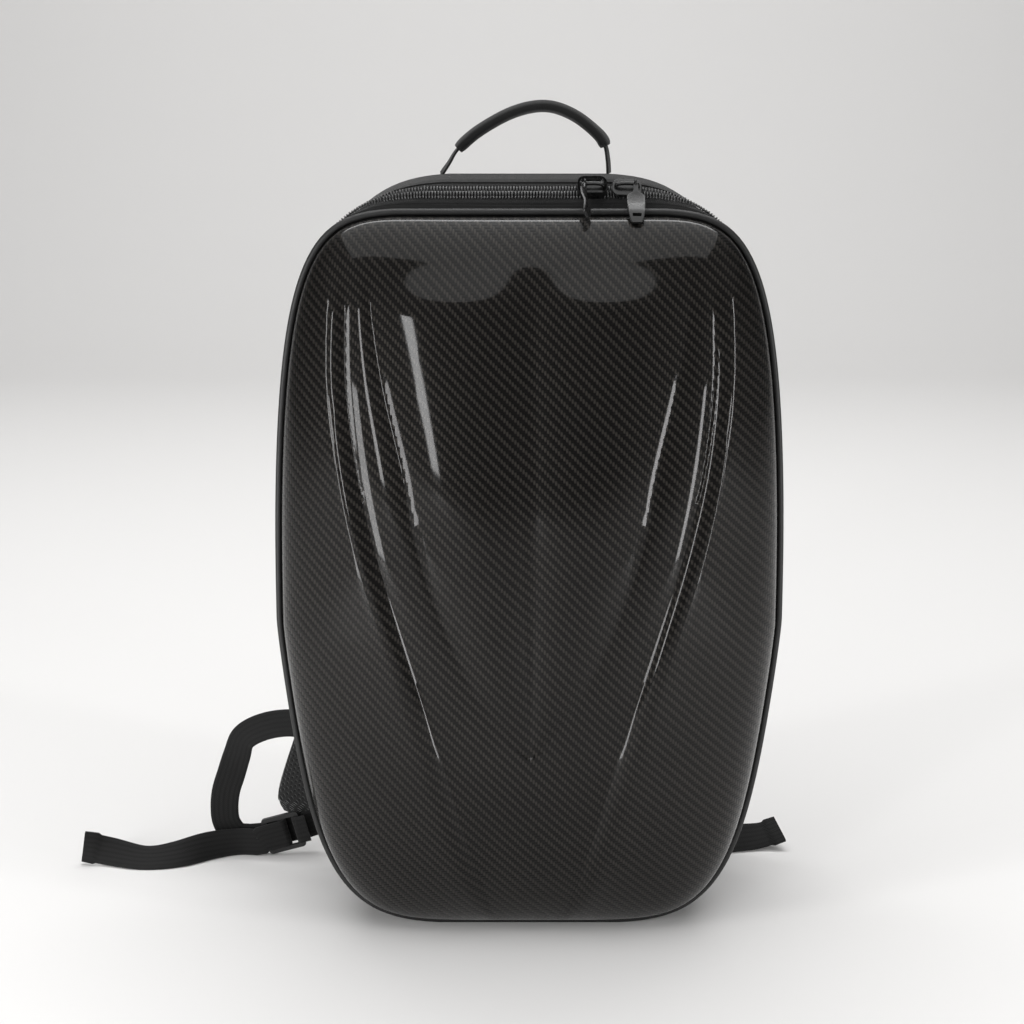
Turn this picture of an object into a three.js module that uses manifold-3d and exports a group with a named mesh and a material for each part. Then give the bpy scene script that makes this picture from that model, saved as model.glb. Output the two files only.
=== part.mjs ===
// Hard shell backpack, standing upright on its base with its shoulder straps hanging loose behind it.
// Millimetres, +Z up. Seen from the front +X is to the right, and the moulded shell faces -Y.
// The origin is on the floor, on the centreline, in the plane where the shell meets the fabric body.

import * as THREE from 'three';
import { mergeVertices } from 'three/addons/utils/BufferGeometryUtils.js';
import Module from 'manifold-3d';

const wasm = await Module();
wasm.setup();

// Clearances.
const seamGap = 0.3;
const floorGap = 0.4;
const runningGap = 0.5;

// Outline of the body seen from the front, at the shell's rim and at the back.
// A side runs in as its height share grows: halfWidth * (1 - pinch * share ** pinchPower), and the
// corners are rounded as a superellipse of the given power. The curve is cut flat at top and base,
// overshoot below its own peak.
const rim = {
  halfWidth: 161.3,
  height: 466,
  widestHeight: 206,
  overshoot: 0.6,
  topPinch: 0.13,
  topPinchPower: 2.48,
  topCorner: 7.7,
  basePinch: 0.181,
  basePinchPower: 1.2,
  baseCorner: 5.2,
};
// The back is higher than the rim by backRise and narrower on each side by backTaper.
const backRise = 16;
const backTaper = 1.3;
const back = {
  ...rim,
  halfWidth: rim.halfWidth - backTaper,
  height: rim.height + backRise,
  topPinch: 0.2,
  topPinchPower: 2.5,
  topCorner: 5,
};
const sideSteps = 30;
const flatSteps = 2;

// Depths behind the shell's rim at which the body turns from the rim's outline to the back's.
const flareStart = 2;
const flareLength = 22;

// Fabric body.
const bodyDepth = 104;
const fabricWall = 2;

// Moulded shell.
const shellWall = 2;
const shellSideWall = 6;
const shoulderRise = 21;
const shoulderPower = 10;
const crownRise = 34;
const crownPowerAcross = 2.4;
const crownPowerUp = 2.6;

// Relief pressed into the shell: two lobes that meet in a crease on the centreline, and a rib each side.
const lobeRise = 5;
const bandRise = 1.6;
const ribRise = 5.5;
const lobePower = 0.8;
// Heights are shares of the rim's height, widths are shares of its half width.
const reliefRows = [
  { height: 0.0, shield: 0.0, valley: 0.12, crest: 0.19 },
  { height: 0.056, shield: 0.0, valley: 0.161, crest: 0.23 },
  { height: 0.172, shield: 0.0, valley: 0.254, crest: 0.335 },
  { height: 0.281, shield: 0.0, valley: 0.338, crest: 0.424 },
  { height: 0.303, shield: 0.062, valley: 0.36, crest: 0.447 },
  { height: 0.358, shield: 0.183, valley: 0.405, crest: 0.492 },
  { height: 0.451, shield: 0.31, valley: 0.488, crest: 0.571 },
  { height: 0.558, shield: 0.415, valley: 0.583, crest: 0.664 },
  { height: 0.67, shield: 0.48, valley: 0.657, crest: 0.732 },
  { height: 0.783, shield: 0.555, valley: 0.695, crest: 0.77 },
  { height: 0.89, shield: 0.6, valley: 0.695, crest: 0.77 },
  { height: 1.0, shield: 0.6, valley: 0.695, crest: 0.77 },
];
// Height shares between which the relief fades in above the base and out below the top.
const reliefFade = { baseEnd: 0, baseFull: 0.03, topFull: 0.87, topEnd: 0.935, tipSpread: 0.3 };

// Piping cords around the shell and around the back.
const pipingThickness = 4.6;
const pipingDepth = 7.4;
const pipingOverlap = 3;

// Zipper: a fabric skirt behind the piping, then the tape with its coil.
const skirtDepth = 8;
const tapeWidth = 12;
const tapeThickness = 1.4;
const tapeInset = 0.8;
const coilWidth = 6.4;
const coilHeight = 2.2;
const zipperEndHeight = 70;

// Zipper sliders, with a bridge bar that carries the pull.
const sliderLength = 18;
const sliderRoof = 1.6;
const sliderSide = 1.8;
const sliderSideDrop = 1.3;
const bridgeLength = 17;
const bridgeRadius = 1;
const bridgeRise = 3.2;
const pullEyeWall = 1.3;
const pullEyeWidth = 2.2;
const pullEyeClearance = 0.5;
const pullLength = 35;
const pullWidth = 11;
const pullThickness = 1.8;
const pullNeckWidth = 3;
const pullSlotLength = 2.6;
const pullSlotWidth = 5.5;
const pullRest = 0.6;
// Each pull's blade can hang turned about its own length, by an angle in degrees.
const sliders = [
  { name: 'left', across: 38.5, eye: -4.6, turned: 68 },
  { name: 'right', across: 60, eye: 5.1, turned: 0 },
];

// Back panel and its piping.
const panelEdge = 6;
const panelCrown = 8;
const panelLip = 2;

// Top handle: webbing with a padded grip around it.
const handleSpan = 110;
const handleOffset = -2.6;
const handleRise = 44;
const handleBack = 94;
const handleWebWidth = 20;
const handleWebThickness = 1.5;
const gripWidth = 27;
const gripThickness = 8;
const handleRows = [
  { across: -1.0, rise: 0.0 },
  { across: -0.9, rise: 0.18 },
  { across: -0.79, rise: 0.385 },
  { across: -0.525, rise: 0.66 },
  { across: -0.125, rise: 0.92 },
  { across: 0.247, rise: 1.0 },
  { across: 0.575, rise: 0.87 },
  { across: 0.86, rise: 0.6 },
  { across: 0.956, rise: 0.42 },
  { across: 0.99, rise: 0.2 },
  { across: 1.0, rise: 0.0 },
];
const gripStart = 2;
const gripEnd = 8;

// Padded shoulder straps. Rows run from the seam at the top of the back panel down to the free end.
const strapTopDrop = 44;
const strapTopHeight = back.height - strapTopDrop;
const strapTopAcross = 48;
const strapEndHeight = 25;
const strapBow = 34;
const strapWidth = 60;
const strapThickness = 11;
const strapRows = [
  { drop: 0.0, stand: 0.0, spread: 0.0, width: 0.86, thickness: 0.5 },
  { drop: -0.012, stand: 0.36, spread: 0.0, width: 0.9, thickness: 0.7 },
  { drop: 0.03, stand: 0.68, spread: 0.01, width: 0.95, thickness: 0.9 },
  { drop: 0.12, stand: 0.9, spread: 0.05, width: 1.0, thickness: 1.0 },
  { drop: 0.28, stand: 1.0, spread: 0.14, width: 1.0, thickness: 1.0 },
  { drop: 0.46, stand: 0.94, spread: 0.3, width: 0.96, thickness: 1.0 },
  { drop: 0.64, stand: 0.75, spread: 0.52, width: 0.88, thickness: 1.0 },
  { drop: 0.82, stand: 0.56, spread: 0.78, width: 0.8, thickness: 0.95 },
  { drop: 0.95, stand: 0.5, spread: 0.95, width: 0.77, thickness: 0.8 },
  { drop: 0.985, stand: 0.5, spread: 0.985, width: 0.68, thickness: 0.6 },
  { drop: 1.0, stand: 0.5, spread: 1.0, width: 0.52, thickness: 0.45 },
];

// Ladder locks at the free ends of the padded straps, and the webbing that runs through them.
const webWidth = 20;
const webThickness = 1.5;
const lockLength = 27;
const lockRail = 3;
const lockRound = 2.4;
const lockThickness = 3;
const lockBar = 3;
const lockTilt = 15;
const lockBehindPad = 7;
const tabLength = 24;
const tabReturn = 6;
const anchorHeight = 101;
const foldLength = 10;
// bulge is how far a loop stands out sideways, behind is how far it stands out behind the bag, and
// twistStations is how many stations it takes to turn from upright into its hanging lie.
const sides = [
  { name: 'left', sign: -1, strapEndAcross: 160, lockAcross: 174, bulge: 40, behind: 0,
    twistStations: 0, tail: 'long' },
  { name: 'right', sign: 1, strapEndAcross: 96, lockAcross: 86, bulge: 14, behind: 14,
    twistStations: 6, tail: 'short' },
];

// The loop of webbing from the bag's side down to the lock. toLock, drop and back run from 0 at the bag
// to 1 at the lock, and bulge is a share of the side's bulge and behind.
const loopRows = [
  { toLock: 0.0, drop: 0.0, bulge: 0.0, back: 0.0, lean: 35 },
  { toLock: 0.1, drop: -0.01, bulge: 0.42, back: 0.25, lean: 35 },
  { toLock: 0.2, drop: 0.034, bulge: 0.77, back: 0.4, lean: 30 },
  { toLock: 0.3, drop: 0.13, bulge: 1.02, back: 0.5, lean: 25 },
  { toLock: 0.4, drop: 0.275, bulge: 1.04, back: 0.5, lean: 12 },
  { toLock: 0.5, drop: 0.435, bulge: 1.05, back: 0.6, lean: 0 },
  { toLock: 0.6, drop: 0.596, bulge: 1.06, back: 0.75, lean: 0 },
  { toLock: 0.7, drop: 0.745, bulge: 1.0, back: 0.88, lean: 0 },
  { toLock: 0.8, drop: 0.88, bulge: 0.87, back: 0.96, lean: 0 },
  { toLock: 0.9, drop: 0.99, bulge: 0.6, back: 1.0, lean: 0 },
  { toLock: 0.97, drop: 1.01, bulge: 0.28, back: 1.0, lean: 0 },
];

// The free tails on the floor. along, back and lift are shares of the tail's length, lean is in degrees.
const tails = {
  long: {
    length: 125,
    rows: [
      { along: 0.144, back: 0.01, lift: 0.0, lean: 0 },
      { along: 0.288, back: -0.04, lift: 0.0, lean: 15 },
      { along: 0.47, back: -0.13, lift: 0.0, lean: 42 },
      { along: 0.656, back: -0.15, lift: 0.0, lean: 55 },
      { along: 0.856, back: -0.12, lift: 0.0, lean: 32 },
      { along: 1.0, back: -0.12, lift: 0.0, lean: 8 },
    ],
  },
  short: {
    length: 82,
    rows: [
      { along: 0.2, back: 0.02, lift: 0.0, lean: 0 },
      { along: 0.5, back: 0.1, lift: 0.0, lean: 20 },
      { along: 0.8, back: 0.2, lift: 0.02, lean: 45 },
      { along: 1.0, back: 0.25, lift: 0.08, lean: 55 },
    ],
  },
};

// Finishes: colour, roughness and metalness.
const finishes = {
  shell: { color: 0x17161a, roughness: 0.12, metalness: 0.1 },
  piping: { color: 0x0c0c0d, roughness: 0.45, metalness: 0 },
  fabric: { color: 0x131316, roughness: 0.9, metalness: 0 },
  webbing: { color: 0x17171b, roughness: 0.8, metalness: 0 },
  mesh: { color: 0x202024, roughness: 0.95, metalness: 0 },
  coil: { color: 0x1c1c1f, roughness: 0.4, metalness: 0 },
  metal: { color: 0x2a2d30, roughness: 0.3, metalness: 0.9 },
  plastic: { color: 0x111112, roughness: 0.4, metalness: 0 },
};

const group = new THREE.Group();

function addPiece(name, finish, geometry) {
  const mesh = new THREE.Mesh(geometry, new THREE.MeshStandardMaterial(finishes[finish]));
  mesh.name = name;
  group.add(mesh);
}

const lerp = THREE.MathUtils.lerp;
const smoothstep = THREE.MathUtils.smoothstep;
const radians = THREE.MathUtils.degToRad;

// A smooth curve through a table's column, read at a value of its key column.
function readTable(rows, key, column, at) {
  const last = rows.length - 1;
  const place = THREE.MathUtils.clamp(at, rows[0][key], rows[last][key]);
  let i = 0;
  while (i < last - 1 && rows[i + 1][key] < place) i += 1;
  const slope = (k) => {
    const low = rows[Math.max(k - 1, 0)];
    const high = rows[Math.min(k + 1, last)];
    return (high[column] - low[column]) / (high[key] - low[key]);
  };
  const width = rows[i + 1][key] - rows[i][key];
  const t = (place - rows[i][key]) / width;
  const square = t * t;
  const cube = square * t;
  return (2 * cube - 3 * square + 1) * rows[i][column]
    + (cube - 2 * square + t) * width * slope(i)
    + (3 * square - 2 * cube) * rows[i + 1][column]
    + (cube - square) * width * slope(i + 1);
}

// The rows of a table with more rows put between them on a smooth curve.
function smoothRows(rows, between) {
  const numbered = rows.map((row, index) => ({ ...row, index }));
  const columns = Object.keys(rows[0]);
  const smooth = [];
  for (let step = 0; step <= (rows.length - 1) * between; step += 1) {
    const at = step / between;
    const entries = columns.map((column) => [column, readTable(numbered, 'index', column, at)]);
    smooth.push(Object.fromEntries(entries));
  }
  return smooth;
}

// A closed mesh from points and triangles, turned so that its faces point out.
function closedGeometry(points, triangles) {
  let volume = 0;
  for (const [a, b, c] of triangles) {
    volume += points[a].dot(points[b].clone().cross(points[c]));
  }
  const faces = volume < 0 ? triangles.map(([a, b, c]) => [a, c, b]) : triangles;
  const geometry = new THREE.BufferGeometry();
  geometry.setAttribute('position', new THREE.Float32BufferAttribute(points.flatMap((p) => p.toArray()), 3));
  geometry.setIndex(faces.flat());
  geometry.computeVertexNormals();
  return geometry;
}

// Sections of equal point count joined in order, into a ring or with both ends closed. isPaired folds the
// second half of a section's sides along the same lines as the first half, for both faces of a strap.
function sweep(sections, isRing, isPaired = false) {
  const count = sections[0].length;
  const points = sections.flat();
  const triangles = [];
  const spans = isRing ? sections.length : sections.length - 1;
  for (let i = 0; i < spans; i += 1) {
    const next = (i + 1) % sections.length;
    for (let j = 0; j < count; j += 1) {
      const a = i * count + j;
      const b = i * count + (j + 1) % count;
      const c = next * count + (j + 1) % count;
      const d = next * count + j;
      const isTurned = isPaired && j >= count / 2;
      triangles.push(...(isTurned ? [[a, b, d], [b, c, d]] : [[a, b, c], [a, c, d]]));
    }
  }
  if (!isRing) {
    const end = (sections.length - 1) * count;
    for (let j = 0; j + 1 < count / 2; j += 1) {
      const k = count - 1 - j;
      triangles.push([j, k, k - 1], [end + j, end + k - 1, end + k]);
      if (j + 1 < k - 1) triangles.push([j, k - 1, j + 1], [end + j, end + j + 1, end + k - 1]);
    }
  }
  return closedGeometry(points, triangles);
}

// Two sweeps one inside the other, joined at both ends: a sleeve.
function sleeve(outer, inner) {
  const count = outer[0].length;
  const points = [...outer.flat(), ...inner.flat()];
  const triangles = [];
  const half = outer.length * count;
  const quad = (a, b, c, d) => triangles.push([a, b, c], [a, c, d]);
  for (let j = 0; j < count; j += 1) {
    const next = (j + 1) % count;
    for (let i = 0; i < outer.length - 1; i += 1) {
      const low = i * count;
      const high = low + count;
      quad(low + j, low + next, high + next, high + j);
      quad(half + low + next, half + low + j, half + high + j, half + high + next);
    }
    const end = half - count;
    quad(next, j, half + j, half + next);
    quad(end + j, end + next, half + end + next, half + end + j);
  }
  return closedGeometry(points, triangles);
}

// Boolean work on closed meshes.
function toSolid(geometry) {
  const bare = geometry.clone();
  bare.deleteAttribute('normal');
  bare.deleteAttribute('uv');
  const merged = mergeVertices(bare, 1e-4);
  return new wasm.Manifold(new wasm.Mesh({
    numProp: 3,
    vertProperties: new Float32Array(merged.attributes.position.array),
    triVerts: new Uint32Array(merged.index.array),
  }));
}

function fromSolid(solid) {
  const mesh = solid.getMesh();
  const geometry = new THREE.BufferGeometry();
  geometry.setAttribute('position', new THREE.BufferAttribute(mesh.vertProperties, 3));
  geometry.setIndex(new THREE.BufferAttribute(mesh.triVerts, 1));
  geometry.computeVertexNormals();
  return geometry;
}

// The body's outline at a depth behind the rim, between the rim's shape and the back's.
function shapeAt(depth) {
  const share = smoothstep(depth, flareStart, flareStart + flareLength);
  const entries = Object.keys(rim).map((key) => [key, lerp(rim[key], back[key], share)]);
  return Object.fromEntries(entries);
}

function halfWidthAt(shape, height) {
  const isTop = height > shape.widestHeight;
  const reach = isTop ? shape.height - shape.widestHeight : shape.widestHeight;
  const share = Math.min(Math.abs(height - shape.widestHeight) / (reach + shape.overshoot), 1);
  const pinch = isTop ? shape.topPinch : shape.basePinch;
  const power = isTop ? shape.topPinchPower : shape.basePinchPower;
  const corner = isTop ? shape.topCorner : shape.baseCorner;
  return shape.halfWidth * (1 - pinch * share ** power) * (1 - share ** corner) ** (1 / corner);
}

// The right-hand side from the end of the flat base to the end of the flat top, in equal steps.
function sideCurve(shape) {
  const fine = 240;
  const curve = [];
  for (let i = -fine; i <= fine; i += 1) {
    const share = 1 - (1 - Math.abs(i) / fine) ** 3;
    const reach = i < 0 ? shape.widestHeight : shape.height - shape.widestHeight;
    const height = shape.widestHeight + Math.sign(i) * reach * share;
    curve.push(new THREE.Vector2(halfWidthAt(shape, height), height));
  }
  const lengths = [0];
  for (let i = 1; i < curve.length; i += 1) {
    lengths.push(lengths[i - 1] + curve[i].distanceTo(curve[i - 1]));
  }
  const total = lengths[lengths.length - 1];
  const side = [];
  let i = 0;
  for (let step = 0; step <= sideSteps; step += 1) {
    const at = total * step / sideSteps;
    while (i < curve.length - 2 && lengths[i + 1] < at) i += 1;
    const t = (at - lengths[i]) / (lengths[i + 1] - lengths[i]);
    side.push(curve[i].clone().lerp(curve[i + 1], Math.min(t, 1)));
  }
  return side;
}

// The closed outline at a depth, moved inwards by an inset. It starts at the middle of the base and
// runs up the right side, over the top and down the left side.
const outlines = new Map();
function outlineAt(depth, inset) {
  const label = `${depth}/${inset}`;
  if (outlines.has(label)) return outlines.get(label);
  const shape = shapeAt(depth);
  const side = sideCurve(shape);
  const right = [];
  for (let i = 0; i < flatSteps; i += 1) {
    right.push(new THREE.Vector2(side[0].x * i / flatSteps, 0));
  }
  right.push(...side);
  for (let i = flatSteps - 1; i >= 0; i -= 1) {
    right.push(new THREE.Vector2(side[sideSteps].x * i / flatSteps, shape.height));
  }
  const left = right.slice(1, -1).reverse().map((p) => new THREE.Vector2(-p.x, p.y));
  const loop = [...right, ...left];
  const moved = loop.map((p, i) => {
    const ahead = loop[(i + 1) % loop.length];
    const behind = loop[(i + loop.length - 1) % loop.length];
    const along = ahead.clone().sub(behind).normalize();
    return new THREE.Vector2(p.x - along.y * inset, p.y + along.x * inset);
  });
  outlines.set(label, moved);
  return moved;
}
const outlineCount = outlineAt(0, 0).length;
const topIndex = outlineCount / 2;

// A point of the body's skin: place around the outline, depth behind the rim, inset from the outline.
function skinPoint(place, depth, inset) {
  const loop = outlineAt(depth, inset);
  const whole = Math.floor(place);
  const a = loop[((whole % outlineCount) + outlineCount) % outlineCount];
  const b = loop[(((whole + 1) % outlineCount) + outlineCount) % outlineCount];
  const t = place - whole;
  return new THREE.Vector3(lerp(a.x, b.x, t), depth, lerp(a.y, b.y, t));
}

function skinSection(place, profile) {
  return profile.map(([depth, inset]) => skinPoint(place, depth, inset));
}

// A ring of the given profile all round the body, or a band of it between two places.
function ring(profile) {
  const sections = [];
  for (let place = 0; place < outlineCount; place += 1) sections.push(skinSection(place, profile));
  return sweep(sections, true);
}

function band(profile, from, to) {
  const sections = [skinSection(from, profile)];
  for (let place = Math.floor(from) + 1; place < to; place += 1) sections.push(skinSection(place, profile));
  sections.push(skinSection(to, profile));
  return sweep(sections, false);
}

// The place on the outline, right or left of the top, where it has the given distance across.
function placeAcross(depth, inset, across) {
  const loop = outlineAt(depth, inset);
  let place = topIndex;
  const step = across > 0 ? -1 : 1;
  while (Math.abs(loop[place + step].x) < Math.abs(across)) place += step;
  const a = Math.abs(loop[place].x);
  const b = Math.abs(loop[place + step].x);
  return place + step * (Math.abs(across) - a) / (b - a);
}

// Depth of the shell in front of the rim plane, at a distance across its row and a height.
const shellInset = pipingThickness + seamGap;
function reliefAt(across, height, rowHalfWidth) {
  const share = height / rim.height;
  const shield = Math.max(readTable(reliefRows, 'height', 'shield', share), 0) * rim.halfWidth;
  const valley = readTable(reliefRows, 'height', 'valley', share) * rim.halfWidth;
  const crest = readTable(reliefRows, 'height', 'crest', share) * rim.halfWidth;
  const atBase = smoothstep(share, reliefFade.baseEnd, reliefFade.baseFull);
  const atTop = 1 - smoothstep(share, reliefFade.topFull, reliefFade.topEnd);
  const fade = atBase * atTop;
  if (across < shield) {
    return fade * lobeRise * Math.min(shield / (reliefFade.tipSpread * rim.halfWidth), 1)
      * Math.sin(Math.PI * across / shield) ** lobePower;
  }
  if (across < valley) {
    const split = Math.min(shield / (reliefFade.tipSpread * rim.halfWidth), 1);
    const middle = (shield + valley) / 2;
    const reach = (valley - shield) / 2;
    const between = 1 - ((across - middle) / reach) ** 2;
    const whole = 1 - (across / valley) ** 2;
    return fade * bandRise * lerp(whole, between, split);
  }
  if (across < crest) {
    const share = (across - valley) / (crest - valley);
    return fade * ribRise * (2 * share - share * share);
  }
  const share2 = Math.min((across - crest) / Math.max(rowHalfWidth - crest, 1), 1);
  return fade * ribRise * (1 - share2) ** 2;
}

function shellDepth(across, height, rowHalfWidth) {
  const isTop = height > rim.widestHeight;
  const low = shellInset;
  const high = rim.height - shellInset;
  const up = isTop
    ? (height - rim.widestHeight) / (high - rim.widestHeight)
    : (rim.widestHeight - height) / (rim.widestHeight - low);
  const upShare = Math.min(Math.max(up, 0), 1);
  const acrossShare = Math.min(Math.abs(across) / rowHalfWidth, 1);
  const corner = isTop ? rim.topCorner : rim.baseCorner;
  const radius = (acrossShare ** corner * (1 - upShare ** corner) + upShare ** corner) ** (1 / corner);
  const shoulder = shoulderRise * Math.sqrt(Math.max(1 - radius ** shoulderPower, 0));
  const crown = crownRise * (1 - acrossShare ** crownPowerAcross) * (1 - upShare ** crownPowerUp);
  const relief = reliefAt(Math.abs(across), height, rowHalfWidth) * (1 - radius ** 8);
  return shellSideWall + shoulder + crown + relief;
}

// Distances across a row of the shell, closer together where the relief and the shoulder bend.
function shellColumns(height, rowHalfWidth) {
  const share = height / rim.height;
  const shield = readTable(reliefRows, 'height', 'shield', share) * rim.halfWidth;
  const valley = readTable(reliefRows, 'height', 'valley', share) * rim.halfWidth;
  const crest = readTable(reliefRows, 'height', 'crest', share) * rim.halfWidth;
  const a = Math.min(Math.max(shield, 0.12 * rowHalfWidth), 0.45 * rowHalfWidth);
  const b = Math.max(Math.min(valley, 0.66 * rowHalfWidth), a * 1.1);
  const c = Math.max(Math.min(crest, 0.78 * rowHalfWidth), b * 1.06);
  const half = [0, a * 0.25, a * 0.65, a, (a + b) / 2, b, (b + c) / 2, c];
  for (const flank of [0.4, 0.68, 0.86, 0.955, 1]) half.push(lerp(c, rowHalfWidth, flank));
  return [...half.slice(1).reverse().map((x) => -x), ...half];
}

function shellGeometry() {
  const outline = outlineAt(0, shellInset);
  const inside = outlineAt(0, shellInset + shellWall);
  const points = [];
  const triangles = [];
  const grid = (isInside) => {
    const start = points.length;
    for (let row = 0; row <= sideSteps; row += 1) {
      const end = outline[flatSteps + row];
      const inner = inside[flatSteps + row];
      for (const x of shellColumns(end.y, end.x)) {
        const depth = shellDepth(x, end.y, end.x);
        points.push(isInside
          ? new THREE.Vector3(x * inner.x / end.x, -(depth - shellWall), inner.y)
          : new THREE.Vector3(x, -depth, end.y));
      }
    }
    return start;
  };
  const outer = grid(false);
  const inner = grid(true);
  const columns = shellColumns(1, 1).length;
  const lastColumn = columns - 1;
  const at = (start, row, column) => start + row * columns + column;
  const quad = (a, b, c, d) => triangles.push([a, b, c], [a, c, d]);
  // Both skins fold along the same lines, and the left half along the mirrored lines of the right half.
  const corners = (start, row, column) => {
    const found = [at(start, row, column), at(start, row, column + 1),
      at(start, row + 1, column + 1), at(start, row + 1, column)];
    if (column < lastColumn / 2) found.push(found.shift());
    return found;
  };
  for (let row = 0; row < sideSteps; row += 1) {
    for (let column = 0; column < lastColumn; column += 1) {
      quad(...corners(outer, row, column));
      const [a, b, c, d] = corners(inner, row, column);
      quad(a, d, c, b);
    }
  }
  const border = [];
  for (let column = 0; column < lastColumn; column += 1) border.push([0, column]);
  for (let row = 0; row < sideSteps; row += 1) border.push([row, lastColumn]);
  for (let column = lastColumn; column > 0; column -= 1) border.push([sideSteps, column]);
  for (let row = sideSteps; row > 0; row -= 1) border.push([row, 0]);
  const edge = (start) => {
    const first = points.length;
    for (const [row, column] of border) {
      const p = points[at(start, row, column)];
      points.push(new THREE.Vector3(p.x, 0, p.z));
    }
    return first;
  };
  const outerEdge = edge(outer);
  const innerEdge = edge(inner);
  border.forEach(([row, column], i) => {
    const j = (i + 1) % border.length;
    const [nextRow, nextColumn] = border[j];
    quad(at(outer, nextRow, nextColumn), at(outer, row, column), outerEdge + i, outerEdge + j);
    quad(outerEdge + j, outerEdge + i, innerEdge + i, innerEdge + j);
    quad(innerEdge + j, innerEdge + i, at(inner, row, column), at(inner, nextRow, nextColumn));
  });
  return closedGeometry(points, triangles);
}

// Round-cornered profile in depth and inset, for a piping cord.
function pipingProfile(start, end) {
  const soft = pipingThickness * 0.3;
  return [
    [start + soft, 0],
    [start, soft],
    [start, pipingThickness],
    [end, pipingThickness],
    [end, soft],
    [end - soft, 0],
  ];
}

// The front half: shell, piping and skirt.
addPiece('shell', 'shell', shellGeometry());
const pipingEnd = pipingDepth - pipingOverlap;
addPiece('shell_piping', 'piping', ring(pipingProfile(-pipingOverlap, pipingEnd)));
addPiece('front_skirt', 'fabric', ring([
  [seamGap, shellInset],
  [pipingEnd + seamGap, shellInset],
  [skirtDepth, tapeInset],
  [skirtDepth, tapeInset + fabricWall],
  [pipingEnd + seamGap, shellInset + fabricWall],
  [seamGap, shellInset + fabricWall],
]));

// The zipper runs up one side, over the top and down the other. Below its ends the fabric is whole.
const tapeStart = skirtDepth + seamGap;
const tapeEnd = tapeStart + tapeWidth;
let zipperPlace = flatSteps;
while (outlineAt(0, 0)[zipperPlace].y < zipperEndHeight) zipperPlace += 1;
const placeGap = 0.02;
const coilDepth = (tapeStart + tapeEnd) / 2;
const coilStart = coilDepth - coilWidth / 2;
const coilEnd = coilDepth + coilWidth / 2;
const tapeProfile = [
  [tapeStart, tapeInset],
  [tapeStart, tapeInset + tapeThickness],
  [tapeEnd, tapeInset + tapeThickness],
  [tapeEnd, tapeInset],
  [coilEnd, tapeInset],
  [coilStart, tapeInset],
];
addPiece('zipper_tape', 'fabric', band(tapeProfile, zipperPlace, outlineCount - zipperPlace));
addPiece('hinge_panel', 'fabric',
  band(tapeProfile, outlineCount - zipperPlace + placeGap, outlineCount + zipperPlace - placeGap));
const coilInset = tapeInset - seamGap;
const coilSoft = coilWidth * 0.2;
addPiece('zipper_coil', 'coil', band([
  [coilEnd, coilInset],
  [coilStart, coilInset],
  [coilStart + coilSoft, coilInset - coilHeight],
  [coilEnd - coilSoft, coilInset - coilHeight],
], zipperPlace + placeGap, outlineCount - zipperPlace - placeGap));

// The fabric body behind the zipper, and the back panel in its piping.
const bodyStart = tapeEnd + seamGap;
const flareEnd = flareStart + flareLength;
addPiece('rear_gusset', 'fabric', ring([
  [bodyStart, 0],
  [bodyStart, fabricWall],
  [bodyDepth, fabricWall],
  [bodyDepth, 0],
  [flareEnd, 0],
]));
const backPipingStart = bodyDepth + seamGap;
const backPipingEnd = backPipingStart + pipingThickness;
addPiece('back_piping', 'piping', ring([
  [backPipingStart, 0],
  [backPipingStart, pipingThickness],
  [backPipingEnd, pipingThickness],
  [backPipingEnd, pipingThickness * 0.3],
  [backPipingEnd - pipingThickness * 0.3, 0],
]));

// Depth of the back panel's outer face at a place of the panel.
const panelInset = pipingThickness + seamGap;
const panelFront = bodyDepth - panelLip;
const panelRim = panelFront + panelEdge;
function panelFaceAt(across, height) {
  const shape = shapeAt(bodyDepth);
  const middle = shape.height / 2;
  const up = Math.min(Math.abs(height - middle) / (middle - panelInset), 1);
  const side = Math.min(Math.abs(across) / (halfWidthAt(shape, height) - panelInset), 1);
  return panelRim + panelCrown * Math.sqrt((1 - side ** 4) * (1 - up ** 6));
}

function backPanelGeometry() {
  const outline = outlineAt(bodyDepth, panelInset);
  const columnShares = [-1, -0.9, -0.6, 0, 0.6, 0.9, 1];
  const columns = columnShares.length;
  const points = [];
  const triangles = [];
  const at = (row, column) => row * columns + column;
  const half = (sideSteps + 1) * columns;
  const quad = (a, b, c, d) => triangles.push([a, b, c], [a, c, d]);
  for (const isOuter of [true, false]) {
    for (let row = 0; row <= sideSteps; row += 1) {
      const end = outline[flatSteps + row];
      for (const share of columnShares) {
        const x = share * end.x;
        const isBorder = Math.abs(share) === 1 || row === 0 || row === sideSteps;
        const face = isBorder ? panelRim : panelFaceAt(x, end.y);
        points.push(new THREE.Vector3(x, isOuter ? face : panelFront, end.y));
      }
    }
  }
  for (let row = 0; row < sideSteps; row += 1) {
    for (let column = 0; column < columns - 1; column += 1) {
      quad(at(row, column + 1), at(row, column), at(row + 1, column), at(row + 1, column + 1));
      quad(half + at(row, column), half + at(row, column + 1),
        half + at(row + 1, column + 1), half + at(row + 1, column));
    }
  }
  const border = [];
  for (let column = 0; column < columns - 1; column += 1) border.push(at(0, column));
  for (let row = 0; row < sideSteps; row += 1) border.push(at(row, columns - 1));
  for (let column = columns - 1; column > 0; column -= 1) border.push(at(sideSteps, column));
  for (let row = sideSteps; row > 0; row -= 1) border.push(at(row, 0));
  border.forEach((a, i) => {
    const b = border[(i + 1) % border.length];
    quad(a, b, half + b, half + a);
  });
  return closedGeometry(points, triangles);
}
addPiece('back_panel', 'mesh', backPanelGeometry());

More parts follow.
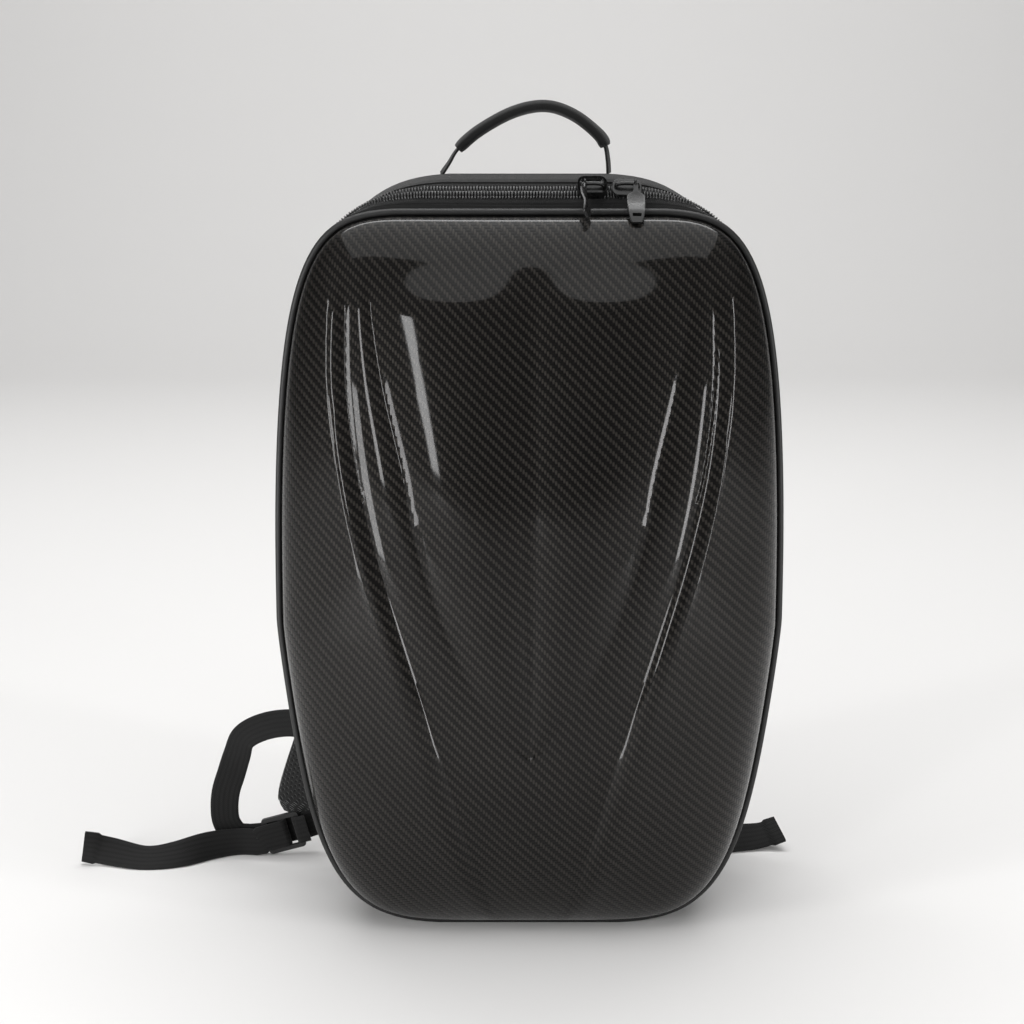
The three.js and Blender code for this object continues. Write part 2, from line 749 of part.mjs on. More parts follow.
// A strap: stations with a centre, a direction across, a width and a thickness. A station may name the
// direction its strap runs in. Soft edges are thinned by the given share.
function strapSections(stations, softEdge) {
  return stations.map((station, i) => {
    const ahead = stations[Math.min(i + 1, stations.length - 1)].centre;
    const behind = stations[Math.max(i - 1, 0)].centre;
    const along = station.along ?? ahead.clone().sub(behind).normalize();
    const normal = along.clone().cross(station.across).normalize();
    const across = normal.clone().cross(along).normalize();
    const w = station.width / 2;
    const t = station.thickness / 2;
    const corners = softEdge > 0
      ? [[w, -t * (1 - softEdge)], [w, t * (1 - softEdge)], [w - t, t], [t - w, t],
        [-w, t * (1 - softEdge)], [-w, -t * (1 - softEdge)], [t - w, -t], [w - t, -t]]
      : [[w, -t], [w, t], [-w, t], [-w, -t]];
    return corners.map(([a, n]) => station.centre.clone()
      .addScaledVector(across, a).addScaledVector(normal, n));
  });
}

// The top handle.
const handleBase = (across) => {
  const place = placeAcross(bodyDepth, 0, across);
  return skinPoint(place, bodyDepth, 0).z + seamGap;
};
const baseLeft = handleBase(handleOffset - handleSpan / 2);
const baseRight = handleBase(handleOffset + handleSpan / 2);
const handleBetween = 2;
const handleStations = smoothRows(handleRows, handleBetween).map((row) => {
  const base = lerp(baseLeft, baseRight, (row.across + 1) / 2);
  return {
    centre: new THREE.Vector3(handleOffset + row.across * handleSpan / 2, handleBack,
      base + row.rise * handleRise),
    across: new THREE.Vector3(0, 1, 0),
    width: handleWebWidth,
    thickness: handleWebThickness,
  };
});
handleStations[0].centre.z += handleWebThickness / 2;
handleStations[handleStations.length - 1].centre.z += handleWebThickness / 2;
addPiece('handle_strap', 'webbing', sweep(strapSections(handleStations, 0), false));
const gripStations = handleStations.slice(gripStart * handleBetween, gripEnd * handleBetween + 1);
const gripOuter = gripStations.map((station) => ({
  ...station,
  width: gripWidth,
  thickness: gripThickness,
}));
const gripInner = gripStations.map((station) => ({
  ...station,
  width: handleWebWidth + 2 * seamGap,
  thickness: handleWebThickness + 2 * seamGap,
}));
const gripHole = strapSections(gripInner, 0).map(([a, b, c, d]) => {
  const near = (p, q) => p.clone().lerp(q, 0.08);
  return [a, b, near(b, c), near(c, b), c, d, near(d, a), near(a, d)];
});
addPiece('handle_grip', 'fabric', sleeve(strapSections(gripOuter, 0.45), gripHole));

// Zipper sliders and pulls. The slider's frame: along the zipper, across it, and out from the tape.
function sliderFrame(across) {
  const inset = coilInset - coilHeight;
  const coilPoint = (at, depth) => skinPoint(placeAcross(coilDepth, inset, at), depth, inset);
  const start = coilPoint(across - sliderLength / 2, coilDepth);
  const end = coilPoint(across + sliderLength / 2, coilDepth);
  const along = end.clone().sub(start).normalize();
  const centre = coilPoint(across, coilDepth);
  const cross = coilPoint(across, coilEnd).sub(coilPoint(across, coilStart));
  cross.addScaledVector(along, -cross.dot(along));
  const coilReach = cross.length() / 2;
  cross.normalize();
  const out = along.clone().cross(cross).normalize();
  return { centre, cross, along, out, coilReach };
}

function extrudeIn(shape, length, frame, origin) {
  const geometry = new THREE.ExtrudeGeometry(shape, { depth: length, bevelEnabled: false });
  geometry.translate(0, 0, -length / 2);
  const matrix = new THREE.Matrix4().makeBasis(frame.cross, frame.out, frame.cross.clone().cross(frame.out));
  matrix.setPosition(origin);
  return toSolid(geometry.applyMatrix4(matrix));
}

function rectangle(width, height, centreHeight) {
  return new THREE.Shape([
    new THREE.Vector2(-width / 2, centreHeight - height / 2),
    new THREE.Vector2(width / 2, centreHeight - height / 2),
    new THREE.Vector2(width / 2, centreHeight + height / 2),
    new THREE.Vector2(-width / 2, centreHeight + height / 2),
  ]);
}

// A rectangle's outline with each corner rounded in a number of steps.
function roundedCorners(halfLength, halfWidth, radius, steps) {
  const points = [];
  [[1, 1], [-1, 1], [-1, -1], [1, -1]].forEach(([x, y], corner) => {
    for (let i = 0; i <= steps; i += 1) {
      const angle = Math.PI / 2 * (corner + i / steps);
      points.push(new THREE.Vector2(
        x * (halfLength - radius) + radius * Math.cos(angle),
        y * (halfWidth - radius) + radius * Math.sin(angle)));
    }
  });
  return points;
}

function sliderGeometry(frame) {
  const channel = frame.coilReach + runningGap;
  const w = channel + sliderSide;
  const roof = runningGap + sliderRoof;
  const sideDrop = sliderSideDrop * frame.cross.y;
  const saddle = new THREE.Shape([
    new THREE.Vector2(-w, -sideDrop), new THREE.Vector2(-channel, -sideDrop),
    new THREE.Vector2(-channel, runningGap), new THREE.Vector2(channel, runningGap),
    new THREE.Vector2(channel, -sideDrop), new THREE.Vector2(w, -sideDrop),
    new THREE.Vector2(w, roof - sliderRoof / 2), new THREE.Vector2(w * 0.7, roof),
    new THREE.Vector2(-w * 0.7, roof), new THREE.Vector2(-w, roof - sliderRoof / 2),
  ]);
  let solid = extrudeIn(saddle, sliderLength, frame, frame.centre);
  const postHeight = bridgeRise + sliderRoof / 2;
  const post = rectangle(2 * bridgeRadius, postHeight, roof + bridgeRise - postHeight / 2);
  for (const end of [-1, 1]) {
    const origin = frame.centre.clone().addScaledVector(frame.along, end * (bridgeLength / 2 - bridgeRadius));
    solid = solid.add(extrudeIn(post, 2 * bridgeRadius, frame, origin));
  }
  const bar = new THREE.Shape();
  bar.absarc(0, roof + bridgeRise, bridgeRadius, 0, 2 * Math.PI, false);
  solid = solid.add(extrudeIn(bar, bridgeLength, frame, frame.centre));
  return fromSolid(solid);
}

// Where the pull's axis is, and how far it leans out from straight down when it rests on the shell.
function pullAxis(frame, eye) {
  return frame.centre.clone()
    .addScaledVector(frame.out, runningGap + sliderRoof + bridgeRise)
    .addScaledVector(frame.along, eye);
}

function pullLean(axis, turned) {
  const halfDepth = pullWidth / 2 * Math.sin(radians(turned))
    + pullThickness * Math.cos(radians(turned));
  const outline = outlineAt(0, shellInset);
  const stops = [[-pipingOverlap, rim.height]];
  for (let row = sideSteps - 6; row <= sideSteps; row += 1) {
    const end = outline[flatSteps + row];
    stops.push([-shellDepth(axis.x, end.y, end.x), end.y]);
  }
  const high = rim.height - shellInset;
  for (let share = 0.9; share < 1; share += 0.01) {
    const height = lerp(rim.widestHeight, high, share);
    stops.push([-shellDepth(axis.x, height, halfWidthAt(rim, height) - shellInset), height]);
  }
  let lean = 0;
  for (const [y, z] of stops) {
    const forward = axis.y - y;
    const down = axis.z - z;
    const distance = Math.hypot(forward, down);
    if (down > 0 && distance < pullLength) {
      const clear = Math.asin(Math.min((halfDepth + pullRest) / distance, 1));
      lean = Math.max(lean, Math.atan2(forward, down) + clear);
    }
  }
  return lean;
}

// A pull hangs from its eye on the bridge bar.
function pullGeometry(axis, along, lean, turnedBy) {
  const eyeInner = bridgeRadius + pullEyeClearance;
  const eyeOuter = eyeInner + pullEyeWall;
  const eye = new THREE.Shape();
  eye.absarc(0, 0, eyeOuter, 0, 2 * Math.PI, false);
  const hole = new THREE.Path();
  hole.absarc(0, 0, eyeInner, 0, 2 * Math.PI, true);
  eye.holes.push(hole);
  const ringPart = new THREE.ExtrudeGeometry(eye, {
    depth: pullEyeWidth, bevelEnabled: false, curveSegments: 8,
  });
  ringPart.translate(0, 0, -pullEyeWidth / 2);
  ringPart.rotateY(Math.PI / 2);
  // The blade's rows: share of its length, share of its width and share of its thickness to one side.
  const bladeRows = [
    { down: 0.0, width: 0.0, bend: 0.0 },
    { down: 0.16, width: 0.1, bend: 0.25 },
    { down: 0.27, width: 1.0, bend: 0.5 },
    { down: 0.5, width: 1.0, bend: 0.2 },
    { down: 0.72, width: 0.88, bend: -0.5 },
    { down: 0.88, width: 0.74, bend: -0.3 },
    { down: 0.97, width: 0.56, bend: 0.1 },
    { down: 1.0, width: 0.3, bend: 0.2 },
  ];
  const bladeStart = eyeInner + pullEyeWall * 0.4;
  const stations = bladeRows.map((row) => ({
    centre: new THREE.Vector3(0, row.bend * pullThickness, -lerp(bladeStart, pullLength, row.down)),
    across: new THREE.Vector3(1, 0, 0),
    width: lerp(pullNeckWidth, pullWidth, row.width),
    thickness: pullThickness,
  }));
  const blade = sweep(strapSections(stations, 0), false);
  const slotShape = rectangle(pullSlotWidth, pullSlotLength, 0);
  const slot = new THREE.ExtrudeGeometry(slotShape, { depth: 6 * pullThickness, bevelEnabled: false });
  slot.translate(0, 0, -3 * pullThickness);
  slot.rotateX(Math.PI / 2);
  slot.translate(0, 0, -pullLength + 2 * pullSlotLength);
  const slotted = fromSolid(toSolid(blade).subtract(toSolid(slot)));
  slotted.rotateZ(radians(turnedBy));
  const solid = toSolid(ringPart).add(toSolid(slotted));
  const geometry = fromSolid(solid);
  geometry.rotateX(-lean);
  const depth = new THREE.Vector3(0, 1, 0);
  const matrix = new THREE.Matrix4().makeBasis(along, depth, along.clone().cross(depth));
  matrix.setPosition(axis);
  return geometry.applyMatrix4(matrix);
}

for (const slider of sliders) {
  const frame = sliderFrame(slider.across);
  const axis = pullAxis(frame, slider.eye);
  const lean = pullLean(axis, slider.turned);
  addPiece(`slider_${slider.name}`, 'metal', sliderGeometry(frame));
  addPiece(`pull_${slider.name}`, 'metal', pullGeometry(axis, frame.along, lean, slider.turned));
}

// Everything of a shoulder strap is laid out for the right side and mirrored by the side's sign.
const strapStart = strapRows[0];
const strapStartDepth = seamGap + panelFaceAt(
  strapTopAcross - strapStart.width * strapWidth / 2,
  strapTopHeight - strapStart.thickness * strapThickness / 2);
function padStations(side) {
  const stations = smoothRows(strapRows, 2).map((row) => ({
    centre: new THREE.Vector3(
      side.sign * lerp(strapTopAcross, side.strapEndAcross, row.spread),
      strapStartDepth + row.stand * strapBow,
      lerp(strapTopHeight, strapEndHeight, row.drop)),
    across: new THREE.Vector3(side.sign, 0, 0),
    width: row.width * strapWidth,
    thickness: row.thickness * strapThickness,
  }));
  stations[0].along = new THREE.Vector3(0, 1, 0);
  return stations;
}

// The lock's frame: out along its length and down towards the floor, and up along its bars.
const lockHalfWidth = webWidth / 2 + seamGap + lockRail;
const lockAngle = radians(lockTilt);
const lockHeight = floorGap + lockLength / 2 * Math.sin(lockAngle) + lockHalfWidth * Math.cos(lockAngle);
const padEndDepth = strapStartDepth + strapRows[strapRows.length - 1].stand * strapBow;
const lockDepth = padEndDepth - strapThickness / 2 - lockBehindPad;
const passOffset = Math.hypot(lockBar, lockThickness) / 2 + seamGap + webThickness / 2;
const barPitch = (lockLength - lockBar) / 2;

function lockFrame(side) {
  const out = new THREE.Vector3(side.sign * Math.cos(lockAngle), 0, -Math.sin(lockAngle));
  const up = new THREE.Vector3(side.sign * Math.sin(lockAngle), 0, Math.cos(lockAngle));
  const centre = new THREE.Vector3(side.sign * side.lockAcross, lockDepth, lockHeight);
  const at = (along, behind) => centre.clone().addScaledVector(out, along)
    .add(new THREE.Vector3(0, behind, 0));
  return { out, up, centre, at };
}

function lockGeometry(side) {
  const frame = lockFrame(side);
  const extruded = (outline, thickness) => {
    const geometry = new THREE.ExtrudeGeometry(new THREE.Shape(outline), {
      depth: thickness, bevelEnabled: false,
    });
    return geometry.translate(0, 0, -thickness / 2);
  };
  const plate = extruded(roundedCorners(lockLength / 2, lockHalfWidth, lockRound, 3), lockThickness);
  const windowLength = (lockLength - 3 * lockBar) / 2;
  const windowOutline = roundedCorners(windowLength / 2, webWidth / 2 + seamGap, lockRound / 3, 2);
  let solid = toSolid(plate);
  for (const end of [-1, 1]) {
    const window = extruded(windowOutline, 2 * lockThickness);
    window.translate(end * (windowLength + lockBar) / 2, 0, 0);
    solid = solid.subtract(toSolid(window));
  }
  const geometry = fromSolid(solid);
  const matrix = new THREE.Matrix4().makeBasis(frame.out, frame.up, frame.out.clone().cross(frame.up));
  matrix.setPosition(frame.centre);
  return geometry.applyMatrix4(matrix);
}

// Half a turn around a bar of the lock, in the plane of the lock's length and depth.
function barTurn(frame, barAt, towards, steps) {
  const turn = [];
  for (let i = 0; i <= steps; i += 1) {
    const angle = Math.PI * (i / steps - 0.5);
    const along = barAt + towards * passOffset * Math.cos(angle);
    turn.push(frame.at(along, -passOffset * Math.sin(angle)));
  }
  return turn;
}

function tabStations(side) {
  const frame = lockFrame(side);
  const start = padEndDepth - strapThickness / 2 - seamGap - webThickness / 2 - lockDepth;
  const centres = [
    frame.at(-barPitch - tabLength, start),
    frame.at(-barPitch - tabLength * 0.55, start),
    frame.at(-barPitch - tabLength * 0.25, (start + passOffset) / 2),
    ...barTurn(frame, -barPitch, 1, 8),
    frame.at(-barPitch - tabReturn, -passOffset),
  ];
  return centres.map((centre) => ({ centre, across: frame.up, width: webWidth, thickness: webThickness }));
}

// Direction across a strap that runs along, upright in the view from the front and then leaning back.
function acrossWith(along, lean, sign) {
  const upright = along.clone().cross(new THREE.Vector3(0, sign, 0)).normalize();
  const normal = along.clone().cross(upright).normalize();
  return upright.multiplyScalar(Math.cos(lean)).addScaledVector(normal, -sign * Math.sin(lean));
}

function webStations(side) {
  const frame = lockFrame(side);
  const shape = shapeAt(bodyDepth);
  const slope = (halfWidthAt(shape, anchorHeight + 1) - halfWidthAt(shape, anchorHeight - 1)) / 2;
  const anchorPoint = new THREE.Vector3(
    side.sign * (halfWidthAt(shape, anchorHeight) + seamGap), bodyDepth, anchorHeight);
  const entry = frame.at(lockLength / 2 + webThickness, passOffset);
  const loop = smoothRows(loopRows, 2).map((row) => ({
    centre: new THREE.Vector3(
      lerp(anchorPoint.x, entry.x, row.toLock) + side.sign * row.bulge * side.bulge,
      lerp(anchorPoint.y, entry.y, row.back) + row.bulge * side.behind,
      lerp(anchorPoint.z, entry.z, row.drop)),
    lean: radians(row.lean),
  }));
  loop.forEach((station, i) => {
    const ahead = loop[i + 1] ? loop[i + 1].centre : entry;
    const behind = loop[Math.max(i - 1, 0)].centre;
    station.across = acrossWith(ahead.clone().sub(behind), station.lean, side.sign);
  });
  const upright = new THREE.Vector3(0, 0, 1);
  for (let i = 0; i < side.twistStations; i += 1) {
    const share = i / side.twistStations;
    loop[i].across = upright.clone().lerp(loop[side.twistStations].across, share).normalize();
  }
  loop[0].along = new THREE.Vector3(side.sign, 0, -slope).normalize();
  const down = frame.up.clone().negate();
  const through = [entry, frame.at(barPitch, passOffset), ...barTurn(frame, 0, -1, 8),
    frame.at(barPitch, -passOffset)].map((centre) => ({ centre, across: down }));
  const tail = tails[side.tail];
  const exit = frame.at(lockLength / 2 + webThickness, -passOffset);
  const laid = [{ centre: exit, across: down }];
  const rows = smoothRows([{ along: 0, back: 0, lift: 0, lean: 0 }, ...tail.rows], 2).slice(1);
  const tailCentre = (row) => new THREE.Vector3(
    exit.x + side.sign * row.along * tail.length,
    exit.y + row.back * tail.length,
    floorGap + webWidth / 2 * Math.cos(radians(row.lean)) + row.lift * tail.length);
  rows.forEach((row, i) => {
    const ahead = tailCentre(rows[Math.min(i + 1, rows.length - 1)]);
    const behind = i > 0 ? tailCentre(rows[i - 1]) : exit;
    const across = acrossWith(ahead.clone().sub(behind), radians(row.lean), side.sign).negate();
    laid.push({ centre: tailCentre(row), across });
  });
  const end = laid.pop();
  while (end.centre.distanceTo(laid[laid.length - 1].centre) < 1.2 * foldLength) laid.pop();
  const before = laid[laid.length - 1];
  const foldShare = foldLength / end.centre.distanceTo(before.centre);
  const hemAt = (share) => ({ centre: end.centre.clone().lerp(before.centre, share), across: end.across });
  laid.push(hemAt(foldShare + 0.06), { ...hemAt(foldShare), thickness: 2 * webThickness },
    { ...end, thickness: 2 * webThickness });
  return [...loop, ...through, ...laid].map((station) => ({
    width: webWidth, thickness: webThickness, ...station,
  }));
}

for (const side of sides) {
  addPiece(`shoulder_strap_${side.name}`, 'mesh', sweep(strapSections(padStations(side), 0.35), false));
  addPiece(`strap_tab_${side.name}`, 'webbing', sweep(strapSections(tabStations(side), 0), false, true));
  addPiece(`ladder_lock_${side.name}`, 'plastic', lockGeometry(side));
  addPiece(`strap_webbing_${side.name}`, 'webbing', sweep(strapSections(webStations(side), 0), false, true));
}

export default group;
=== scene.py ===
"""Looks of a hard shell backpack: its carbon shell, fabric body, zipper, handle and shoulder straps."""

import logging
import math
from dataclasses import dataclass, field, fields
from enum import Enum

import bpy
import numpy as np
from mathutils import Matrix, Vector


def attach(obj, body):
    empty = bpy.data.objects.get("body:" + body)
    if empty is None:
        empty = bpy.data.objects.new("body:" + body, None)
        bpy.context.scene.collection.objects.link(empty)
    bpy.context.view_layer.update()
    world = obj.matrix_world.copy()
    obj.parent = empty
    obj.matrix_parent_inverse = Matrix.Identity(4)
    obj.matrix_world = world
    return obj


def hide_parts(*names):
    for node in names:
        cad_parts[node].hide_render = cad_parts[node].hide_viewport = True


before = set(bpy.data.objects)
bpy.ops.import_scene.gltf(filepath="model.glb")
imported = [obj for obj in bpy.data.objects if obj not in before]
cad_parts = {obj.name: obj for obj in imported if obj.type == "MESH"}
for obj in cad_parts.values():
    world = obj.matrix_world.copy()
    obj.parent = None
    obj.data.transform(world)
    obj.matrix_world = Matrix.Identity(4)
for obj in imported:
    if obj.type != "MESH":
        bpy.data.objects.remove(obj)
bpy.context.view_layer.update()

LOG = logging.getLogger("backpack")
MM = 0.001
BAG = "bag"
Rows = list[dict[str, float]]


class Slot(Enum):
    """The record's material slots."""

    SHELL = "carbon_shell"
    PIPING = "piping"
    FABRIC = "fabric"
    MESH = "mesh_fabric"
    WEBBING = "webbing"
    COIL = "coil"
    METAL = "slider_metal"
    PLASTIC = "lock_plastic"


class Side(Enum):
    """Which side of the bag a strap is on, seen from the front."""

    LEFT = "left"
    RIGHT = "right"

    @property
    def sign(self) -> int:
        """The sign of X on this side."""
        return -1 if self is Side.LEFT else 1


# Finishes


class NodeBoard:
    """A new material's node tree, with short calls for the nodes that the finishes are built from."""

    def __init__(self, name: str) -> None:
        """Starts an empty material.

        Args:
            name: The material's name.
        """
        self.material = bpy.data.materials.new(name)
        self.material.use_nodes = True
        self.tree = self.material.node_tree
        self.tree.nodes.clear()
        self.coordinates = self.tree.nodes.new("ShaderNodeTexCoord")

    def feed(self, socket: bpy.types.NodeSocket, value: object) -> None:
        """Links a socket to another, or sets it to a plain value.

        Args:
            socket: The input socket.
            value: An output socket, a number or a tuple.
        """
        if isinstance(value, bpy.types.NodeSocket):
            self.tree.links.new(value, socket)
        else:
            socket.default_value = value

    def math(self, operation: str, first: object, second: object = 0.0) -> bpy.types.NodeSocket:
        """One step of arithmetic.

        Args:
            operation: The Math node's operation.
            first: Its first value or socket.
            second: Its second value or socket.

        Returns:
            The result's socket.
        """
        node = self.tree.nodes.new("ShaderNodeMath")
        node.operation = operation
        self.feed(node.inputs[0], first)
        self.feed(node.inputs[1], second)
        return node.outputs[0]

    def split(self, source: bpy.types.NodeSocket) -> tuple[bpy.types.NodeSocket, ...]:
        """The three parts of a vector.

        Args:
            source: The vector's socket.

        Returns:
            The sockets of its X, Y and Z.
        """
        node = self.tree.nodes.new("ShaderNodeSeparateXYZ")
        self.tree.links.new(source, node.inputs[0])
        return tuple(node.outputs)

    def noise(self, scale: float, detail: float) -> bpy.types.NodeSocket:
        """Soft noise on the object's own coordinates.

        Args:
            scale: Its scale, per metre.
            detail: Its detail.

        Returns:
            The noise's socket, from 0 to 1.
        """
        node = self.tree.nodes.new("ShaderNodeTexNoise")
        node.inputs["Scale"].default_value = scale
        node.inputs["Detail"].default_value = detail
        self.tree.links.new(self.coordinates.outputs["Object"], node.inputs["Vector"])
        return node.outputs["Fac"]

    def blend(self, share: object, first: object, second: object) -> bpy.types.NodeSocket:
        """A colour between two.

        Args:
            share: How much of the second, from 0 to 1.
            first: The first colour.
            second: The second colour.

        Returns:
            The colour's socket.
        """
        node = self.tree.nodes.new("ShaderNodeMix")
        node.data_type = "RGBA"
        self.feed(node.inputs[0], share)
        self.feed(node.inputs[6], first)
        self.feed(node.inputs[7], second)
        return node.outputs[2]

    def bump(self, height: bpy.types.NodeSocket, depth: float) -> bpy.types.NodeSocket:
        """A bumped normal.

        Args:
            height: The height's socket, from 0 to 1.
            depth: How deep the bumps are, in metres.

        Returns:
            The normal's socket.
        """
        node = self.tree.nodes.new("ShaderNodeBump")
        node.inputs["Distance"].default_value = depth
        self.tree.links.new(height, node.inputs["Height"])
        return node.outputs[0]

    def finish(self, **values: object) -> bpy.types.Material:
        """Closes the material with a Principled shader.

        Args:
            values: The shader's inputs, by their names with underscores for spaces.

        Returns:
            The material.
        """
        shader = self.tree.nodes.new("ShaderNodeBsdfPrincipled")
        output = self.tree.nodes.new("ShaderNodeOutputMaterial")
        self.tree.links.new(shader.outputs[0], output.inputs[0])
        for name, value in values.items():
            self.feed(shader.inputs[name.replace("_", " ")], value)
        return self.material


def grey(value: float, warmth: float = 0.0) -> tuple[float, float, float, float]:
    """A grey colour.

    Args:
        value: Its linear brightness.
        warmth: How far red is raised and blue lowered, as a share.

    Returns:
        The colour with full alpha.
    """
    return (value * (1 + warmth), value, value * (1 - warmth), 1.0)


@dataclass(frozen=True)
class CarbonTwill:
    """Two-by-two twill of carbon tows under a thick clear coat. Its colour carries painted sheen: warp tows
    lighter than weft tows, and each float lighter at its crown. Sizes in metres.
    """

    tow: float = 0.00163
    dark: float = 0.0006
    bright: float = 0.034
    warmth: float = 0.12
    relief: float = 0.0002
    floats_over: float = 4.0
    # Painted sheen of each tow direction, as shares of the bright colour.
    warp_shine: float = 0.75
    weft_shine: float = 0.12
    cloudiness: float = 0.35

    def build(self) -> bpy.types.Material:
        """Builds the finish.

        Returns:
            The material.
        """
        board = NodeBoard("carbon_twill")
        x, _, z = board.split(board.coordinates.outputs["Object"])
        across = board.math("DIVIDE", x, self.tow)
        up = board.math("DIVIDE", z, self.tow)
        column = board.math("FLOOR", across)
        row = board.math("FLOOR", up)
        phase = board.math("FLOORED_MODULO", board.math("ADD", column, row), self.floats_over)
        is_warp = board.math("LESS_THAN", phase, 1.5)
        warp = self._float(board, across, board.math("ADD", up, column), 0.0)
        weft = self._float(board, up, board.math("ADD", across, row), 2.0)
        kept = board.math("MULTIPLY", warp, is_warp)
        rest = board.math("MULTIPLY", weft, board.math("SUBTRACT", 1.0, is_warp))
        height = board.math("ADD", kept, rest)
        cloud = board.noise(22.0, 3.0)
        strand = board.noise(1400.0, 1.0)
        # Painted highlight: each float is coloured lighter at its crown and darker where it dips under, with
        # random strand tone on top.
        painted_float_highlight = board.math("MULTIPLY", height, board.math("ADD", 0.75, board.math("MULTIPLY", strand, 0.5)))
        # Painted sheen: warp tows are coloured much lighter than weft tows, standing in for how the two tow
        # directions catch light.
        turned = board.math("ADD", board.math("MULTIPLY", is_warp, self.warp_shine), self.weft_shine)
        light = board.math("MULTIPLY", painted_float_highlight, turned)
        tint = board.blend(light, grey(self.dark), grey(self.bright, self.warmth))
        colour = board.blend(board.math("MULTIPLY", cloud, self.cloudiness), tint, grey(self.dark))
        return board.finish(
            Base_Color=colour,
            Roughness=0.5,
            Specular_IOR_Level=0.1,
            Metallic=0.4,
            Normal=board.bump(height, self.relief),
            Coat_Weight=1.0,
            Coat_Roughness=0.06,
            Coat_IOR=1.25,
        )

    def _float(self, board: NodeBoard, across: object, along: object, start: float) -> bpy.types.NodeSocket:
        """Height of a tow where it floats over two others.

        Args:
            board: The board to build on.
            across: Place across the tows, in tows.
            along: Place along the float, in tows, with its column's offset.
            start: Where in four tows the float starts.

        Returns:
            The height's socket, from 0 to 1.
        """
        middle = board.math("SUBTRACT", board.math("FRACT", across), 0.5)
        square = board.math("MULTIPLY", middle, middle)
        crown = board.math("SUBTRACT", 1.0, board.math("MULTIPLY", square, 4.0))
        phase = board.math("FLOORED_MODULO", along, self.floats_over)
        share = board.math("MULTIPLY", board.math("SUBTRACT", phase, start), math.pi / 2)
        arch = board.math("MAXIMUM", board.math("SINE", share), 0.0)
        return board.math("MULTIPLY", board.math("POWER", arch, 0.4), board.math("POWER", crown, 0.6))


@dataclass(frozen=True)
class WovenCloth:
    """Plain black pack cloth on a piece's UV map, which is in metres."""

    name: str = "pack_cloth"
    pitch: float = 0.0011
    colour: float = 0.008
    relief: float = 0.00022
    sheen: float = 0.14

    def build(self) -> bpy.types.Material:
        """Builds the finish.

        Returns:
            The material.
        """
        board = NodeBoard(self.name)
        u, v, _ = board.split(board.coordinates.outputs["UV"])
        turn = math.pi / self.pitch
        warp = board.math("ABSOLUTE", board.math("SINE", board.math("MULTIPLY", u, turn)))
        weft = board.math("ABSOLUTE", board.math("SINE", board.math("MULTIPLY", v, turn)))
        weave = board.math("MAXIMUM", warp, weft)
        wear = board.noise(60.0, 4.0)
        fuzz = board.noise(2600.0, 2.0)
        height = board.math("ADD", weave, board.math("MULTIPLY", fuzz, 0.35))
        share = board.math("MULTIPLY", board.math("ADD", wear, fuzz), 0.5)
        colour = board.blend(share, grey(self.colour * 0.55), grey(self.colour * 1.5))
        return board.finish(
            Base_Color=colour,
            Roughness=0.82,
            Normal=board.bump(height, self.relief),
            Sheen_Weight=self.sheen,
            Sheen_Roughness=0.5,
            Specular_IOR_Level=0.15,
        )


@dataclass(frozen=True)
class Webbing:
    """Strap webbing on a piece's UV map: slanted ribs that turn back at the middle line, coloured by their
    height as painted shade in the furrows and painted highlight on the crowns.
    """

    pitch: float = 0.0017
    band: float = 0.0033
    colour: float = 0.007
    relief: float = 0.00014

    def build(self) -> bpy.types.Material:
        """Builds the finish.

        Returns:
            The material.
        """
        board = NodeBoard("webbing")
        u, v, _ = board.split(board.coordinates.outputs["UV"])
        fold = board.math("PINGPONG", u, self.band)
        slant = board.math("ADD", v, fold)
        rib = board.math("ABSOLUTE", board.math("SINE", board.math("MULTIPLY", slant, math.pi / self.pitch)))
        cord = board.math("ABSOLUTE", board.math("SINE", board.math("MULTIPLY", u, math.pi / self.band)))
        fuzz = board.noise(2400.0, 2.0)
        height = board.math("ADD", board.math("MULTIPLY", rib, cord), board.math("MULTIPLY", fuzz, 0.3))
        # Painted shade: the colour follows the ribs' height, darker in the furrows and lighter on the crowns.
        colour = board.blend(height, grey(self.colour * 0.45), grey(self.colour * 1.5))
        return board.finish(
            Base_Color=colour,
            Roughness=0.7,
            Normal=board.bump(height, self.relief),
            Sheen_Weight=0.12,
            Sheen_Roughness=0.45,
            Specular_IOR_Level=0.2,
        )


@dataclass(frozen=True)
class AirMesh:
    """Padded spacer mesh with round holes in a hexagonal grid, on a piece's UV map; the holes are bumps only,
    painted almost black as their shade.
    """

    pitch: float = 0.0034
    colour: float = 0.014
    relief: float = 0.0007

    def build(self) -> bpy.types.Material:
        """Builds the finish.

        Returns:
            The material.
        """
        board = NodeBoard("air_mesh")
        u, v, _ = board.split(board.coordinates.outputs["UV"])
        turn = 4 * math.pi / (math.sqrt(3) * self.pitch)
        waves = []
        for degrees in (0, 60, 120):
            angle = math.radians(degrees)
            along = board.math("ADD", board.math("MULTIPLY", u, turn * math.cos(angle)),
                               board.math("MULTIPLY", v, turn * math.sin(angle)))
            waves.append(board.math("COSINE", along))
        total = board.math("ADD", board.math("ADD", waves[0], waves[1]), waves[2])
        hole = board.math("MINIMUM", board.math("MULTIPLY", total, 0.4), 0.9)
        knit = board.math("SUBTRACT", 1.0, board.math("MAXIMUM", hole, 0.0))
        fuzz = board.noise(1900.0, 2.0)
        height = board.math("ADD", knit, board.math("MULTIPLY", fuzz, 0.25))
        # Painted shade: the holes are coloured almost black, where only the bump makes them.
        colour = board.blend(knit, grey(self.colour * 0.12), grey(self.colour))
        return board.finish(
            Base_Color=colour,
            Roughness=0.85,
            Normal=board.bump(height, self.relief),
            Sheen_Weight=0.3,
            Sheen_Roughness=0.5,
            Specular_IOR_Level=0.3,
        )


